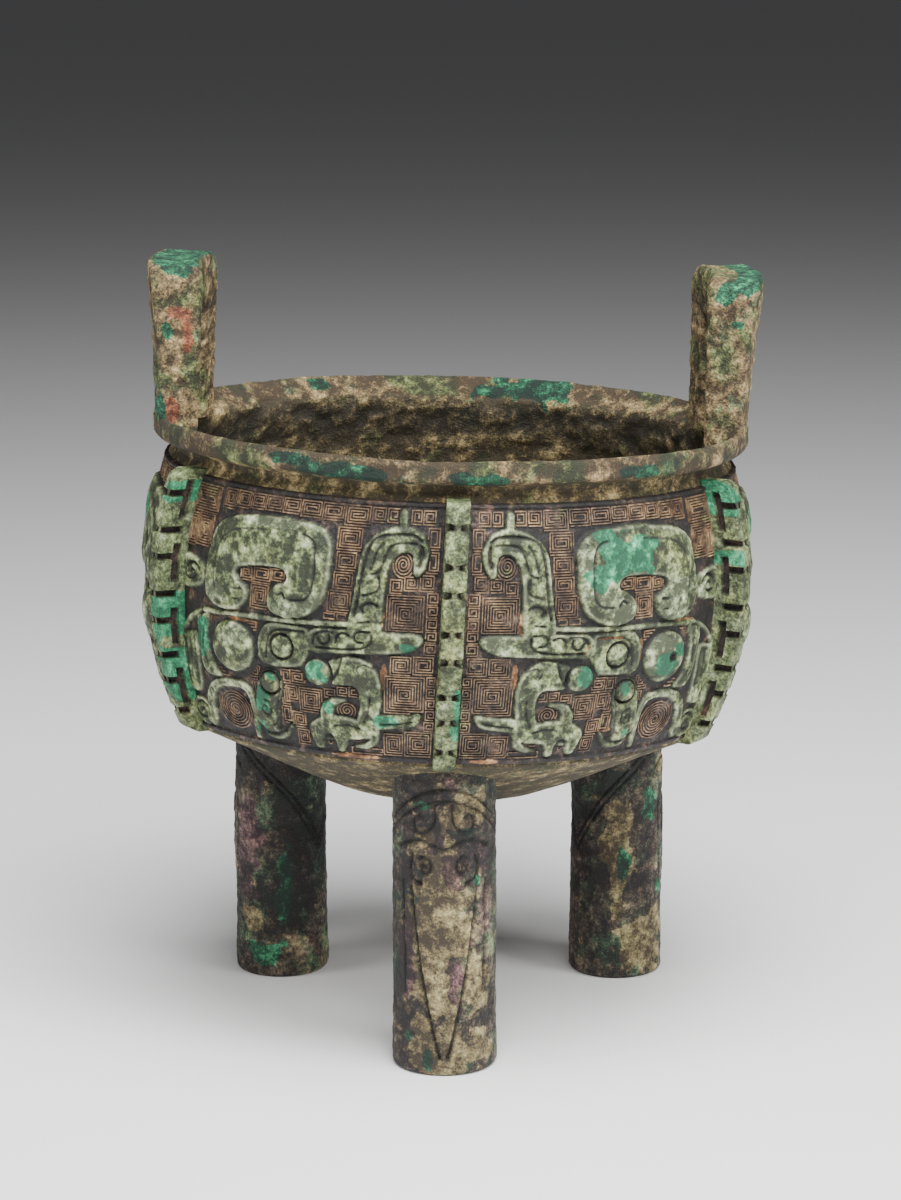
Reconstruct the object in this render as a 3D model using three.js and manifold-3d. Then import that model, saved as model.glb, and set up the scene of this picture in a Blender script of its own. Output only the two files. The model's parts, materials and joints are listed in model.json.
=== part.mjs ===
// A bronze ding: a deep round cauldron on three straight legs, with two upright loop handles, cast in one.
// Millimetres, +Z up, standing on Z = 0. The front leg and the front mask face -Y.
import * as THREE from "three";
import { mergeVertices } from "three/addons/utils/BufferGeometryUtils.js";
import Module from "manifold-3d";

const wasm = await Module();
wasm.setup();

// ---- Driving dimensions ----

// The vessel's upper part leans a little to +X over legs that stand level.
const LEAN = THREE.MathUtils.degToRad(1.6);
const LEAN_PIVOT_Z = 80;
const BOWL_AXIS_X = -1.8; // the bowl's axis at the pivot height, from the centre of the legs
const LEG_CENTRE_X = -1.32; // the legs' centre, from the middle of the overall width

const WALL = 4;
const SEGMENTS = 30;
const BELLY_ROWS = 5;

const BELLY_RADIUS = 96.5; // widest, at BELLY_Z; the belly is an arc of BELLY_ARC from band to neck
const BELLY_Z = 145;
const BELLY_ARC = 120;
const BAND_BOTTOM_Z = 101.5;
const BAND_TOP_Z = 181;
const KNUCKLE = { radius: 87, z: 99.5 }; // where the belly turns under
const BOTTOM_SLOPE = Math.tan(THREE.MathUtils.degToRad(26));
const DISH_RADIUS = 50; // inside this the bottom is a shallow dish

const NECK = { radius: 88.6, z: 184 };
const RIM_RADIUS = 95;
const RIM_TOP_Z = 194.6;
const LIP_FACE = 6.7; // height of the rim's upright outer face
const RIM_LAND = 1; // flat width left on the rim's crest
const MOUTH = { radius: 86, z: 188 }; // foot of the slope inside the rim

const LEG_COUNT = 3;
const LEG_CIRCLE = 65.5;
const LEG_RADII = [16, 15.3, 15.3];
const LEG_TURN = THREE.MathUtils.degToRad(-0.76);
const LEG_TOP_Z = 95; // inside the bowl's bottom
const FOOT_ROUND = 1.4;
const LEG_SEGMENTS = 24;
const LEG_BLADE = { topZ: 62, tipZ: 6, halfWidth: 8.5, raise: 0.7 };

const HANDLE_AZIMUTHS = [92, -92];
const HANDLE_WIDTH = 55;
const HANDLE_TOP_Z = 245.4;
const HANDLE_LEG = 14;
const HANDLE_BAR = 15.5;
const HANDLE_CORNER = 8;
const HANDLE_ARCH = 6; // rise of the opening's arched top
const HANDLE_FOOT = { z: 189, inner: 82.5, outer: RIM_RADIUS - 0.3 };
const HANDLE_HEAD = { inner: 80.2, outer: 98.4 };

const MASK_COUNT = 3;
const ARC_RADIUS = 95; // distances round the belly are measured on this radius
const MASK_TURN = THREE.MathUtils.degToRad(0.9);
// The masks' centre lines and the flanges lean this much to +X.
const MASK_SKEW = THREE.MathUtils.degToRad(1.4);

const FLANGE_COUNT = 6;
const FLANGE_THICKNESS = 7;
const FLANGE_WEB = 2.8; // left standing between the notches of the two faces
const WEB_DROP = 0.5; // and the web stands back this much from the crest
const FLANGE_ROUND = 2.2;
const FLANGE_ROOT = 1.6;
const FLANGE_TOP_Z = 183;
const FLANGE_BOTTOM_Z = 99.5;
const CREST = { radius: 105.8, z: 148, arc: 98 };
const NOTCH_PITCH = 19.5; // each pitch holds two slots
const NOTCH_REPEATS = 4;
const FIRST_SLOT_Z = 175.8;
const SLOT_SHARE = 0.59; // of the pitch, from its first slot down to its second
const SLOT_HEIGHT = 2;

const LOW_RELIEF = 1.3;
const HIGH_RELIEF = 2;
const RELIEF_ROOT = 2.4; // how far the raised figures run into the wall

// ---- Solids from three.js geometry ----

function solidOf(geometry, matrix = new THREE.Matrix4()) {
  const plain = geometry.clone().applyMatrix4(matrix);
  plain.deleteAttribute("normal");
  plain.deleteAttribute("uv");
  const merged = mergeVertices(plain, 1e-4);
  const triVerts = new Uint32Array(merged.index.array);
  if (matrix.determinant() < 0) {
    for (let i = 0; i < triVerts.length; i += 3) {
      [triVerts[i + 1], triVerts[i + 2]] = [triVerts[i + 2], triVerts[i + 1]];
    }
  }
  const vertProperties = merged.getAttribute("position").array;
  return new wasm.Manifold(new wasm.Mesh({ numProp: 3, vertProperties, triVerts }));
}

function geometryOf(solid) {
  const mesh = solid.getMesh();
  const geometry = new THREE.BufferGeometry();
  geometry.setAttribute("position", new THREE.BufferAttribute(mesh.vertProperties, 3));
  geometry.setIndex(new THREE.BufferAttribute(mesh.triVerts, 1));
  return geometry;
}

function joined(solids) {
  return wasm.Manifold.union(solids);
}

// A solid of revolution about Z, from [radius, z] points that start and end on the axis
// or close on themselves.
function turned(profile, segments = SEGMENTS) {
  const points = profile.map(([radius, z]) => new THREE.Vector2(radius, z));
  return new THREE.LatheGeometry(points, segments).rotateX(Math.PI / 2);
}

function mapPositions(geometry, place) {
  const position = geometry.getAttribute("position");
  for (let i = 0; i < position.count; i++) {
    position.setXYZ(i, ...place(position.getX(i), position.getY(i), position.getZ(i)));
  }
  return geometry;
}

// A point at a radius, an azimuth from -Y towards +X, and a height.
function atAzimuth(radius, azimuth, z) {
  return [radius * Math.sin(azimuth), -radius * Math.cos(azimuth), z];
}

const turnAbout = (azimuth) => new THREE.Matrix4().makeRotationZ(azimuth);

const leaned = new THREE.Matrix4()
  .makeTranslation(BOWL_AXIS_X, 0, LEAN_PIVOT_Z)
  .multiply(new THREE.Matrix4().makeRotationY(LEAN))
  .multiply(new THREE.Matrix4().makeTranslation(0, 0, -LEAN_PIVOT_Z));

// ---- The bowl ----

function wallRadius(z) {
  return BELLY_RADIUS - BELLY_ARC + Math.sqrt(BELLY_ARC ** 2 - (z - BELLY_Z) ** 2);
}

function bottomZ(radius) {
  const edge = KNUCKLE.z - (KNUCKLE.radius - Math.max(radius, DISH_RADIUS)) * BOTTOM_SLOPE;
  const dish = Math.max(0, 1 - (radius / DISH_RADIUS) ** 2);
  return edge - (BOTTOM_SLOPE * DISH_RADIUS * dish) / 2;
}

function steps(from, to, count) {
  return Array.from({ length: count + 1 }, (_, i) => from + ((to - from) * i) / count);
}

const BELLY_STEPS = steps(BAND_BOTTOM_Z, BAND_TOP_Z, BELLY_ROWS);

const bottomProfile = (radii, rise) => radii.map((radius) => [radius, bottomZ(radius) + rise]);

function bowlOutside() {
  return turned([
    ...bottomProfile([0, 20, 38, DISH_RADIUS], 0),
    [KNUCKLE.radius, KNUCKLE.z],
    ...BELLY_STEPS.map((z) => [wallRadius(z), z]),
    [NECK.radius, NECK.z],
    [RIM_RADIUS, RIM_TOP_Z - LIP_FACE],
    [RIM_RADIUS, RIM_TOP_Z],
    [0, RIM_TOP_Z],
  ]);
}

function bowlInside() {
  const above = RIM_TOP_Z + 10;
  return turned([
    ...bottomProfile([0, 25, DISH_RADIUS], WALL / Math.cos(Math.atan(BOTTOM_SLOPE))),
    [KNUCKLE.radius - WALL, KNUCKLE.z + WALL / 2],
    ...steps(BAND_BOTTOM_Z, BAND_TOP_Z, 4).slice(1).map((z) => [wallRadius(z) - WALL, z]),
    [MOUTH.radius, MOUTH.z],
    [RIM_RADIUS - RIM_LAND, RIM_TOP_Z],
    [RIM_RADIUS - RIM_LAND, above],
    [0, above],
  ]);
}

// ---- The raised figures of one half of a mask ----
// Each is drawn flat, in distance round the belly from the mask's centre line, and height.

// A tapering band along stations of [distance, height, half width], with blunt ends.
function band(...stations) {
  const curve = new THREE.CatmullRomCurve3(stations.map((s) => new THREE.Vector3(...s)));
  const sides = [[], []];
  const ends = [];
  stations.forEach(([u, v, half], i) => {
    const along = curve.getTangent(i / (stations.length - 1));
    const forward = new THREE.Vector2(along.x, along.y).normalize();
    const across = new THREE.Vector2(-forward.y, forward.x);
    const centre = new THREE.Vector2(u, v);
    sides[0].push(centre.clone().addScaledVector(across, half));
    sides[1].push(centre.clone().addScaledVector(across, -half));
    if (i === 0) ends.push(centre.clone().addScaledVector(forward, -half * 0.7));
    if (i === stations.length - 1) ends.push(centre.clone().addScaledVector(forward, half * 0.7));
  });
  return [ends[0], ...sides[1], ends[1], ...sides[0].reverse()];
}

const outline = (...points) => points.map(([u, v]) => new THREE.Vector2(u, v));

const LOW_FIGURES = [
  // the upright dragon's hooked body, and its trunk from foot to rump
  band([25.3, 145.6, 4.8], [24.4, 159, 4.4], [19, 168.8, 4], [11.2, 167, 2.4], [12.2, 157.4, 1]),
  outline([7.6, 142.4], [9.6, 136.8], [23.8, 136.1], [23.8, 142.3]),
  outline([24.2, 142.3], [24.2, 136.1], [40.6, 135.4], [41.6, 142.2]),
  // the cheek before the eye
  outline([43.2, 136], [46, 129], [58, 128.6], [60.5, 135], [57.5, 141.6], [45, 142]),
  // the lower dragon's head and body
  outline([20.4, 133.4], [35.4, 133.4], [35.4, 124.8], [27.4, 125.2], [27, 115.4], [22, 115.4]),
  // the arch of the jaw
  band([65.4, 105.6, 1.6], [66.2, 118.4, 1.8], [79.6, 118.4, 1.8], [85.4, 106, 2]),
];

// On the front mask only: the ear, the side of the face, the scroll at the jaw's corner, the temple
// behind the eye, and the lower dragon's foot, tail and claws.
const FRONT_FIGURES = [
  outline([84.2, 152.4], [88.4, 157.2], [96, 157.6], [96, 147.2], [88.4, 147.6]),
  outline([88, 135.6], [94.6, 134], [94.8, 114.4], [88, 114.4]),
  outline([86.2, 107.4], [89.4, 111.4], [96, 110.6], [96, 104], [89.4, 103.2]),
  outline([81.6, 140.8], [87.4, 138.8], [86.6, 125], [81, 121.8], [81.6, 131]),
  outline([7.2, 117.4], [9, 113.4], [20.8, 112.4], [21.4, 116]),
  outline(
    [22.4, 114.2], [21, 108.6], [25.4, 105.6], [31, 109], [33.4, 103.8], [37, 108.8], [40.8, 104.6],
    [44, 109.4], [39.4, 115], [38.2, 120.4], [31.6, 120.4], [35.2, 116],
  ),
];

const HIGH_FIGURES = [
  // the horn, a broad C round a T of ground, in two arms that meet above it
  outline(
    [38, 166.4], [44.4, 174.2], [55.8, 174.8], [55.8, 158.8], [53, 157], [58.6, 150.8], [56.4, 145.2],
    [48, 143.9], [40.2, 147.4],
  ),
  outline(
    [56.2, 174.8], [75, 173.6], [83.8, 162], [82.4, 146], [74, 143.2], [66, 148], [66.6, 153.8],
    [71.6, 157], [62, 159.2], [56.2, 158.8],
  ),
  // the fang, a hook that turns up at its tip
  band([57.4, 122.8, 4.2], [59.6, 112, 3.2], [57.6, 106.6, 2], [51.4, 108.4, 0.8]),
];

const DOMES = [
  { u: 71, v: 131.7, size: [8.8, 8.2, 3.6] }, // the eye
  { u: 40.2, v: 128.4, size: [4.3, 4.2, 2.4] }, // the lower dragon's eye
];

const maskAzimuth = (u, z) => (u + Math.tan(MASK_SKEW) * (z - BELLY_Z)) / ARC_RADIUS + MASK_TURN;

// Wraps a flat figure round the belly, as a prism from a root in the wall to its raised face.
// Side is 1 for the half towards +X and -1 for its mirror image.
function wrapped(points, side, raise) {
  const shape = new THREE.Shape(points.map(({ x, y }) => new THREE.Vector2(side * x, y)));
  const prism = new THREE.ExtrudeGeometry(shape, { depth: 1, bevelEnabled: false, steps: 1 });
  return mapPositions(prism, (u, v, depth) =>
    atAzimuth(wallRadius(v) + THREE.MathUtils.lerp(-RELIEF_ROOT, raise, depth), maskAzimuth(u, v), v),
  );
}

function dome({ u, v, size }, side) {
  const ball = new THREE.SphereGeometry(1, 8, 6);
  return mapPositions(ball, (x, y, z) => {
    const height = v + y * size[1];
    return atAzimuth(wallRadius(v) + z * size[2], maskAzimuth(side * u + x * size[0], v), height);
  });
}

function halfMask(side, place, lowFigures) {
  return [
    ...lowFigures.map((points) => solidOf(wrapped(points, side, LOW_RELIEF), place)),
    ...HIGH_FIGURES.map((points) => solidOf(wrapped(points, side, HIGH_RELIEF), place)),
    ...DOMES.map((spec) => solidOf(dome(spec, side), place)),
  ];
}

// ---- The flanges ----

const crestRadius = (z) => CREST.radius - CREST.arc + Math.sqrt(CREST.arc ** 2 - (z - CREST.z) ** 2);

// Levels up a flange, each [height, half thickness, drop from the crest]: full, but thin across each slot.
function flangeLevels() {
  const full = FLANGE_THICKNESS / 2;
  const slotCount = 2 * NOTCH_REPEATS;
  const levels = [];
  for (let i = 0; i < slotCount; i++) {
    const middle = FIRST_SLOT_Z - Math.floor(i / 2) * NOTCH_PITCH - (i % 2) * NOTCH_PITCH * SLOT_SHARE;
    const [above, below] = [middle + SLOT_HEIGHT / 2, middle - SLOT_HEIGHT / 2];
    levels.push([above, full, 0], [above, FLANGE_WEB / 2, WEB_DROP]);
    levels.push([below, FLANGE_WEB / 2, WEB_DROP], [below, full, 0]);
  }
  return [
    [FLANGE_TOP_Z, full, FLANGE_ROUND],
    [FLANGE_TOP_Z - FLANGE_ROUND, full, 0],
    ...levels,
    [FLANGE_BOTTOM_Z + FLANGE_ROUND, full, 0],
    [FLANGE_BOTTOM_Z, full, FLANGE_ROUND],
  ];
}

// A notched plate standing out of the wall, leaning with the masks.
function flange(place) {
  const levels = flangeLevels();
  const rows = levels.length - 1;
  const block = mapPositions(new THREE.BoxGeometry(1, 1, 1, 1, 1, rows), (x, y, z) => {
    const [height, half, drop] = levels[Math.round((0.5 - z) * rows)];
    const radius = y < 0 ? crestRadius(height) - drop : wallRadius(height) - FLANGE_ROOT;
    return [2 * half * x, -radius, height - BELLY_Z];
  });
  const upright = place
    .clone()
    .multiply(turnAbout(MASK_TURN))
    .multiply(new THREE.Matrix4().makeTranslation(0, 0, BELLY_Z))
    .multiply(new THREE.Matrix4().makeRotationY(MASK_SKEW));
  return solidOf(block, upright);
}

// ---- The handles ----

// An upright loop that follows the rim's curve, drawn flat as distance round the rim and height.
function handle(azimuth, place) {
  const half = HANDLE_WIDTH / 2;
  const shoulder = HANDLE_TOP_Z - HANDLE_CORNER;
  const opening = half - HANDLE_LEG;
  const arch = HANDLE_TOP_Z - HANDLE_BAR - HANDLE_ARCH;
  const loop = new THREE.Shape();
  loop.moveTo(-opening, HANDLE_FOOT.z);
  loop.lineTo(-half, HANDLE_FOOT.z);
  loop.absarc(-half + HANDLE_CORNER, shoulder, HANDLE_CORNER, Math.PI, Math.PI / 2, true);
  for (const across of steps(-opening, opening, 2)) loop.lineTo(across, HANDLE_TOP_Z);
  loop.absarc(half - HANDLE_CORNER, shoulder, HANDLE_CORNER, Math.PI / 2, 0, true);
  loop.lineTo(half, HANDLE_FOOT.z);
  loop.lineTo(opening, HANDLE_FOOT.z);
  loop.absellipse(0, arch, opening, HANDLE_ARCH, 0, Math.PI, false, 0);
  const blank = new THREE.ExtrudeGeometry(loop, {
    depth: 1,
    bevelEnabled: false,
    steps: 1,
    curveSegments: 4,
  });
  const middle = (HANDLE_FOOT.inner + HANDLE_FOOT.outer) / 2;
  const curved = mapPositions(blank, (across, z, depth) => {
    const up = (z - HANDLE_FOOT.z) / (HANDLE_TOP_Z - HANDLE_FOOT.z);
    const inner = THREE.MathUtils.lerp(HANDLE_FOOT.inner, HANDLE_HEAD.inner, up);
    const outer = THREE.MathUtils.lerp(HANDLE_FOOT.outer, HANDLE_HEAD.outer, up);
    return atAzimuth(THREE.MathUtils.lerp(inner, outer, depth), across / middle, z);
  });
  return solidOf(curved, place.clone().multiply(turnAbout(THREE.MathUtils.degToRad(azimuth))));
}

// ---- The legs ----

// A straight leg with a long raised blade, point down, on its outward face.
function leg(index) {
  const radius = LEG_RADII[index];
  const shaft = turned(
    [[0, 0], [radius - FOOT_ROUND, 0], [radius, FOOT_ROUND], [radius, LEG_TOP_Z], [0, LEG_TOP_Z]],
    LEG_SEGMENTS,
  );
  const { topZ, tipZ, halfWidth, raise } = LEG_BLADE;
  const outlinePoints = [[-halfWidth, topZ], [0, topZ - halfWidth], [halfWidth, topZ], [0, tipZ]];
  const shape = new THREE.Shape(outlinePoints.map(([across, z]) => new THREE.Vector2(across, z)));
  const prism = new THREE.ExtrudeGeometry(shape, { depth: 1, bevelEnabled: false, steps: 1 });
  const blade = mapPositions(prism, (across, z, depth) =>
    atAzimuth(radius + THREE.MathUtils.lerp(-RELIEF_ROOT, raise, depth), across / radius, z),
  );
  const azimuth = LEG_TURN + (index * 2 * Math.PI) / LEG_COUNT;
  const [x, y] = atAzimuth(LEG_CIRCLE, azimuth, 0);
  const place = new THREE.Matrix4().makeTranslation(x, y, 0).multiply(turnAbout(azimuth));
  return joined([solidOf(shaft, place), solidOf(blade, place)]);
}

// ---- The whole casting ----

function casting() {
  const repeats = (count) =>
    steps(0, 2 * Math.PI, count)
      .slice(0, -1)
      .map((azimuth) => leaned.clone().multiply(turnAbout(azimuth)));
  const solids = [
    solidOf(bowlOutside(), leaned),
    ...repeats(FLANGE_COUNT).flatMap(flange),
    ...repeats(MASK_COUNT).flatMap((place, i) =>
      [1, -1].flatMap((side) =>
        halfMask(side, place, i === 0 ? [...LOW_FIGURES, ...FRONT_FIGURES] : LOW_FIGURES),
      ),
    ),
    ...Array.from({ length: LEG_COUNT }, (_, index) => leg(index)),
  ];
  const handles = HANDLE_AZIMUTHS.map((azimuth) => handle(azimuth, leaned));
  return joined([joined(solids).subtract(solidOf(bowlInside(), leaned)), ...handles]);
}

const bronze = new THREE.MeshStandardMaterial({ color: 0x6f7a5c, roughness: 0.75, metalness: 0.3 });
const vessel = new THREE.Mesh(geometryOf(casting()), bronze);
vessel.name = "ding_vessel";
vessel.position.x = LEG_CENTRE_X;

const ding = new THREE.Group();
ding.add(vessel);

export default ding;
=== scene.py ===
import itertools
import json
import math

import bpy
import numpy as np
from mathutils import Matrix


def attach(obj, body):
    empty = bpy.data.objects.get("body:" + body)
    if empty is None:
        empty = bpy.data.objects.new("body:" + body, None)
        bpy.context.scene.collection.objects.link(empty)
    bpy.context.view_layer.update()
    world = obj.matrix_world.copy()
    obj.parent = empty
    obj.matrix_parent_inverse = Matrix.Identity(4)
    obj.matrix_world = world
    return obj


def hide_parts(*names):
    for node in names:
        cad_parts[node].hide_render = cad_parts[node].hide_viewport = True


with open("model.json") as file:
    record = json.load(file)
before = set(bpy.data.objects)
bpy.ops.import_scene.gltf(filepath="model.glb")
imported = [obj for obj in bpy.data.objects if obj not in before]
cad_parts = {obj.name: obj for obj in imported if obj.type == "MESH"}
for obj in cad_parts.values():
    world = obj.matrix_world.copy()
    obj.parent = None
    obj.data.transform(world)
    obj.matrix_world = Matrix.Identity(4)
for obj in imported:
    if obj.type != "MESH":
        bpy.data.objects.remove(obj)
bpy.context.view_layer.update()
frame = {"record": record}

MM = 0.001
BODY = "root"
NODE = "ding_vessel"

feet = [np.array(mount["pos_m"]) / MM for mount in frame["record"]["mounts"]]
LEGS_X = float(np.mean([foot[0] for foot in feet]))

# ---- Sizes ----

LEAN = math.radians(1.6)
LEAN_PIVOT_Z = 80.0
BOWL_AXIS_X = LEGS_X - 1.8

WALL = 4.0
BELLY_RADIUS = 96.5
BELLY_Z = 145.0
BELLY_ARC = 120.0
BAND_BOTTOM_Z = 101.5
BAND_TOP_Z = 181.0
KNUCKLE = (87.0, 99.5)
BOTTOM_SLOPE = math.tan(math.radians(26))
DISH_RADIUS = 50.0
NECK = (88.6, 184.0)
RIM_RADIUS = 95.0
RIM_TOP_Z = 194.6
MOUTH = (86.0, 188.0)

MASK_COUNT = 3
HALF_MASK = math.pi / 3
ARC_RADIUS = 95.0
MASK_TURN = math.radians(0.9)
MASK_SKEW = math.radians(1.4)

LEG_RADII = (16.0, 15.3, 15.3)
LEG_SIDES = (200, 132, 132)
LEG_TOP_Z = 95.0
FOOT_ROUND = 1.4

HANDLE_AZIMUTHS = {"right_handle": math.radians(92), "left_handle": math.radians(-92)}
HANDLE_WIDTH = 55.0
HANDLE_TOP_Z = 243.6
HANDLE_LEG = 14.0
HANDLE_BAR = 15.5
HANDLE_CORNER = 8.0
HANDLE_ARCH = 6.0
HANDLE_FOOT = (189.0, 82.5, 94.7)  # height, inner radius, outer radius
HANDLE_HEAD = (243.6, 81.2, 98.2)

FLANGE_HALF = 3.5
FLANGE_WEB_HALF = 1.4
FLANGE_TOP_Z = 183.0
FLANGE_BOTTOM_Z = 99.5
CREST = (105.8, 148.0, 98.0)  # widest radius, its height, arc
HOOK_SLOTS_Z = (175.8, 156.2, 136.0, 116.8)
STRAIGHT_SLOTS_Z = (164.4, 144.5, 125.0, 106.8)
SLOT_HALF = 1.0


# ---- Places ----

def around(radius, azimuth, z):
    """Points at a radius, an azimuth from -Y towards +X, and a height."""
    radius, azimuth, z = np.broadcast_arrays(radius, azimuth, z)
    return np.stack([radius * np.sin(azimuth), -radius * np.cos(azimuth), z], axis=-1)


def leaned(points):
    """The bowl's own frame to the part's frame: a slight lean to +X over the legs."""
    x, y, z = np.moveaxis(points, -1, 0)
    up = z - LEAN_PIVOT_Z
    return np.stack([
        BOWL_AXIS_X + x * math.cos(LEAN) + up * math.sin(LEAN),
        y,
        LEAN_PIVOT_Z - x * math.sin(LEAN) + up * math.cos(LEAN),
    ], axis=-1)


def wall_radius(z):
    return BELLY_RADIUS - BELLY_ARC + np.sqrt(BELLY_ARC ** 2 - (z - BELLY_Z) ** 2)


def crest_radius(z):
    radius, middle, arc = CREST
    return radius - arc + np.sqrt(arc ** 2 - (z - middle) ** 2)


def bottom_z(radius):
    """The underside: a cone that turns into a shallow dish."""
    edge = KNUCKLE[1] - (KNUCKLE[0] - np.maximum(radius, DISH_RADIUS)) * BOTTOM_SLOPE
    inside = np.maximum(DISH_RADIUS ** 2 - radius ** 2, 0.0)
    return edge - inside * BOTTOM_SLOPE / (2 * DISH_RADIUS)


def smoothstep(low, high, value):
    t = np.clip((value - low) / (high - low), 0.0, 1.0)
    return t * t * (3 - 2 * t)


def oval(u, z, centre_u, centre_z, half_u, half_z):
    """Distance from the middle of an oval, 1 on its outline."""
    return np.hypot((u - centre_u) / half_u, (z - centre_z) / half_z)


def lengths_along(path):
    return np.concatenate([[0], np.cumsum(np.linalg.norm(np.diff(path, axis=0), axis=1))])


def at_lengths(path, lengths, stations):
    return np.stack([np.interp(stations, lengths, path[:, k]) for k in (0, 1)], axis=1)


def lumps(points, size, seed):
    """Smooth noise between -1 and 1 at each point, in lumps about size across."""
    scaled = np.asarray(points, float) / size + 31.7 * seed
    base = np.floor(scaled).astype(np.int64)
    part = scaled - base
    part = part * part * (3 - 2 * part)
    total = np.zeros(scaled.shape[:-1])
    for corner in itertools.product((0, 1), repeat=scaled.shape[-1]):
        cell = base + corner
        key = cell[..., 0] * 73856093 ^ cell[..., 1] * 19349663
        if scaled.shape[-1] == 3:
            key = key ^ cell[..., 2] * 83492791
        key = (key ^ (key >> 13)) * 1274126177 & 0xFFFFFFFF
        key = (key ^ (key >> 16)) * 2246822519 & 0xFFFFFFFF
        value = (key >> 8 & 0xFFFF) / 32767.5 - 1
        weight = np.prod(np.where(np.array(corner) == 1, part, 1 - part), axis=-1)
        total += weight * value
    return total


def crust(points, size, seed):
    """Noise with finer lumps on its lumps."""
    return sum(lumps(points, size / 2 ** i, seed + i) * 0.55 ** i for i in range(3))


def blotch(u, z, seed, *spots):
    """Ragged spots, each (centre u, centre z, half width, half height)."""
    ragged = 0.45 * crust(np.stack([u, z], axis=-1), 5.0, seed)
    mask = np.zeros(np.shape(u))
    for spot in spots:
        mask = np.maximum(mask, smoothstep(1.15, 0.75, oval(u, z, *spot) + ragged))
    return mask


# ---- Pieces ----

def deselect():
    bpy.ops.object.select_all(action="DESELECT")


def rolled(name, rings, material, marks, smooth_angle):
    """A closed solid from rings of points: a grid is added, its rows are laid on the rings, the long seam is
    merged and the two open ends are filled. Marks are values per point that the material reads."""
    count, around_count = rings.shape[:2]
    deselect()
    bpy.ops.mesh.primitive_grid_add(x_subdivisions=around_count, y_subdivisions=count - 1, size=1)
    piece = bpy.context.object
    piece.name = piece.data.name = name
    looped = np.concatenate([rings, rings[:, :1]], axis=1)
    piece.data.vertices.foreach_set("co", (looped.reshape(-1, 3) * MM).ravel())
    for mark, values in marks.items():
        layer = piece.data.attributes.new(mark, "FLOAT", "POINT")
        looped_values = np.concatenate([values, values[:, :1]], axis=1)
        layer.data.foreach_set("value", looped_values.astype(np.float32).ravel())
    bpy.ops.object.mode_set(mode="EDIT")
    bpy.ops.mesh.select_all(action="SELECT")
    bpy.ops.mesh.remove_doubles(threshold=1e-7)
    bpy.ops.mesh.fill_holes(sides=0)
    bpy.ops.mesh.select_all(action="SELECT")
    bpy.ops.mesh.normals_make_consistent(inside=False)
    bpy.ops.object.mode_set(mode="OBJECT")
    bpy.ops.object.shade_smooth_by_angle(angle=math.radians(smooth_angle))
    return finished(piece, material)


def finished(piece, material):
    """Every piece is of one metal and takes part of the one CAD object's place."""
    piece.data.materials.clear()
    piece.data.materials.append(material)
    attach(piece, BODY)
    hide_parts(NODE)
    return piece


# ---- Figures of a half mask ----
# Distances run from the mask's middle flange (u) and up (z). A run of stations is (u, z, half width).

def flowing(stations, steps=5):
    """A smooth run through the stations."""
    points = np.array(stations, float)
    padded = np.vstack([2 * points[0] - points[1], points, 2 * points[-1] - points[-2]])
    run = []
    for a, b, c, d in zip(padded, padded[1:], padded[2:], padded[3:]):
        for t in np.linspace(0, 1, steps, endpoint=False):
            run.append(0.5 * (2 * b + (c - a) * t + (2 * a - 5 * b + 4 * c - d) * t ** 2
                              + (3 * b - a - 3 * c + d) * t ** 3))
    run.append(points[-1])
    return np.array(run)


def from_segment(u, z, u0, z0, u1, z1):
    """How far along a segment the nearest point lies, 0 to 1, and how far away it is."""
    du, dz = u1 - u0, z1 - z0
    t = np.clip(((u - u0) * du + (z - z0) * dz) / max(du * du + dz * dz, 1e-9), 0, 1)
    return t, np.hypot(u - u0 - t * du, z - z0 - t * dz)


def run_distance(u, z, run):
    """Signed distance to a run with a width that changes along it."""
    nearest = np.full(u.shape, 1e9)
    for (u0, z0, r0), (u1, z1, r1) in zip(run, run[1:]):
        t, away = from_segment(u, z, u0, z0, u1, z1)
        np.minimum(nearest, away - (r0 + t * (r1 - r0)), out=nearest)
    return nearest


def outline_distance(u, z, corners):
    """Signed distance to a smooth closed outline, negative inside."""
    points = flowing(list(corners) + list(corners[:3]), 4)[4:-8]
    nearest = np.full(u.shape, 1e9)
    inside = np.zeros(u.shape, bool)
    for (u0, z0), (u1, z1) in zip(points, np.roll(points, -1, axis=0)):
        np.minimum(nearest, from_segment(u, z, u0, z0, u1, z1)[1], out=nearest)
        if z0 != z1:
            inside ^= ((z0 > z) != (z1 > z)) & (u < u0 + (z - z0) * (u1 - u0) / (z1 - z0))
    return np.where(inside, -nearest, nearest)


def curl(u, z, reach_u, reach_z, turns, start, hand=1):
    """A spiral line that ends at its middle."""
    t = np.linspace(0, 1, int(14 * turns) + 2)
    angle = math.radians(start) + hand * 2 * math.pi * turns * t
    shrink = 1 - 0.92 * t
    return [(u + reach_u * s * math.cos(a), z + reach_z * s * math.sin(a)) for s, a in zip(shrink, angle)]


def cut(half_width, depth, *points):
    """An incised line."""
    return flowing([(u, z, half_width) for u, z in points]), depth


def bar(height, *stations):
    """A raised figure that runs through stations."""
    return flowing(stations), height


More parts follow.
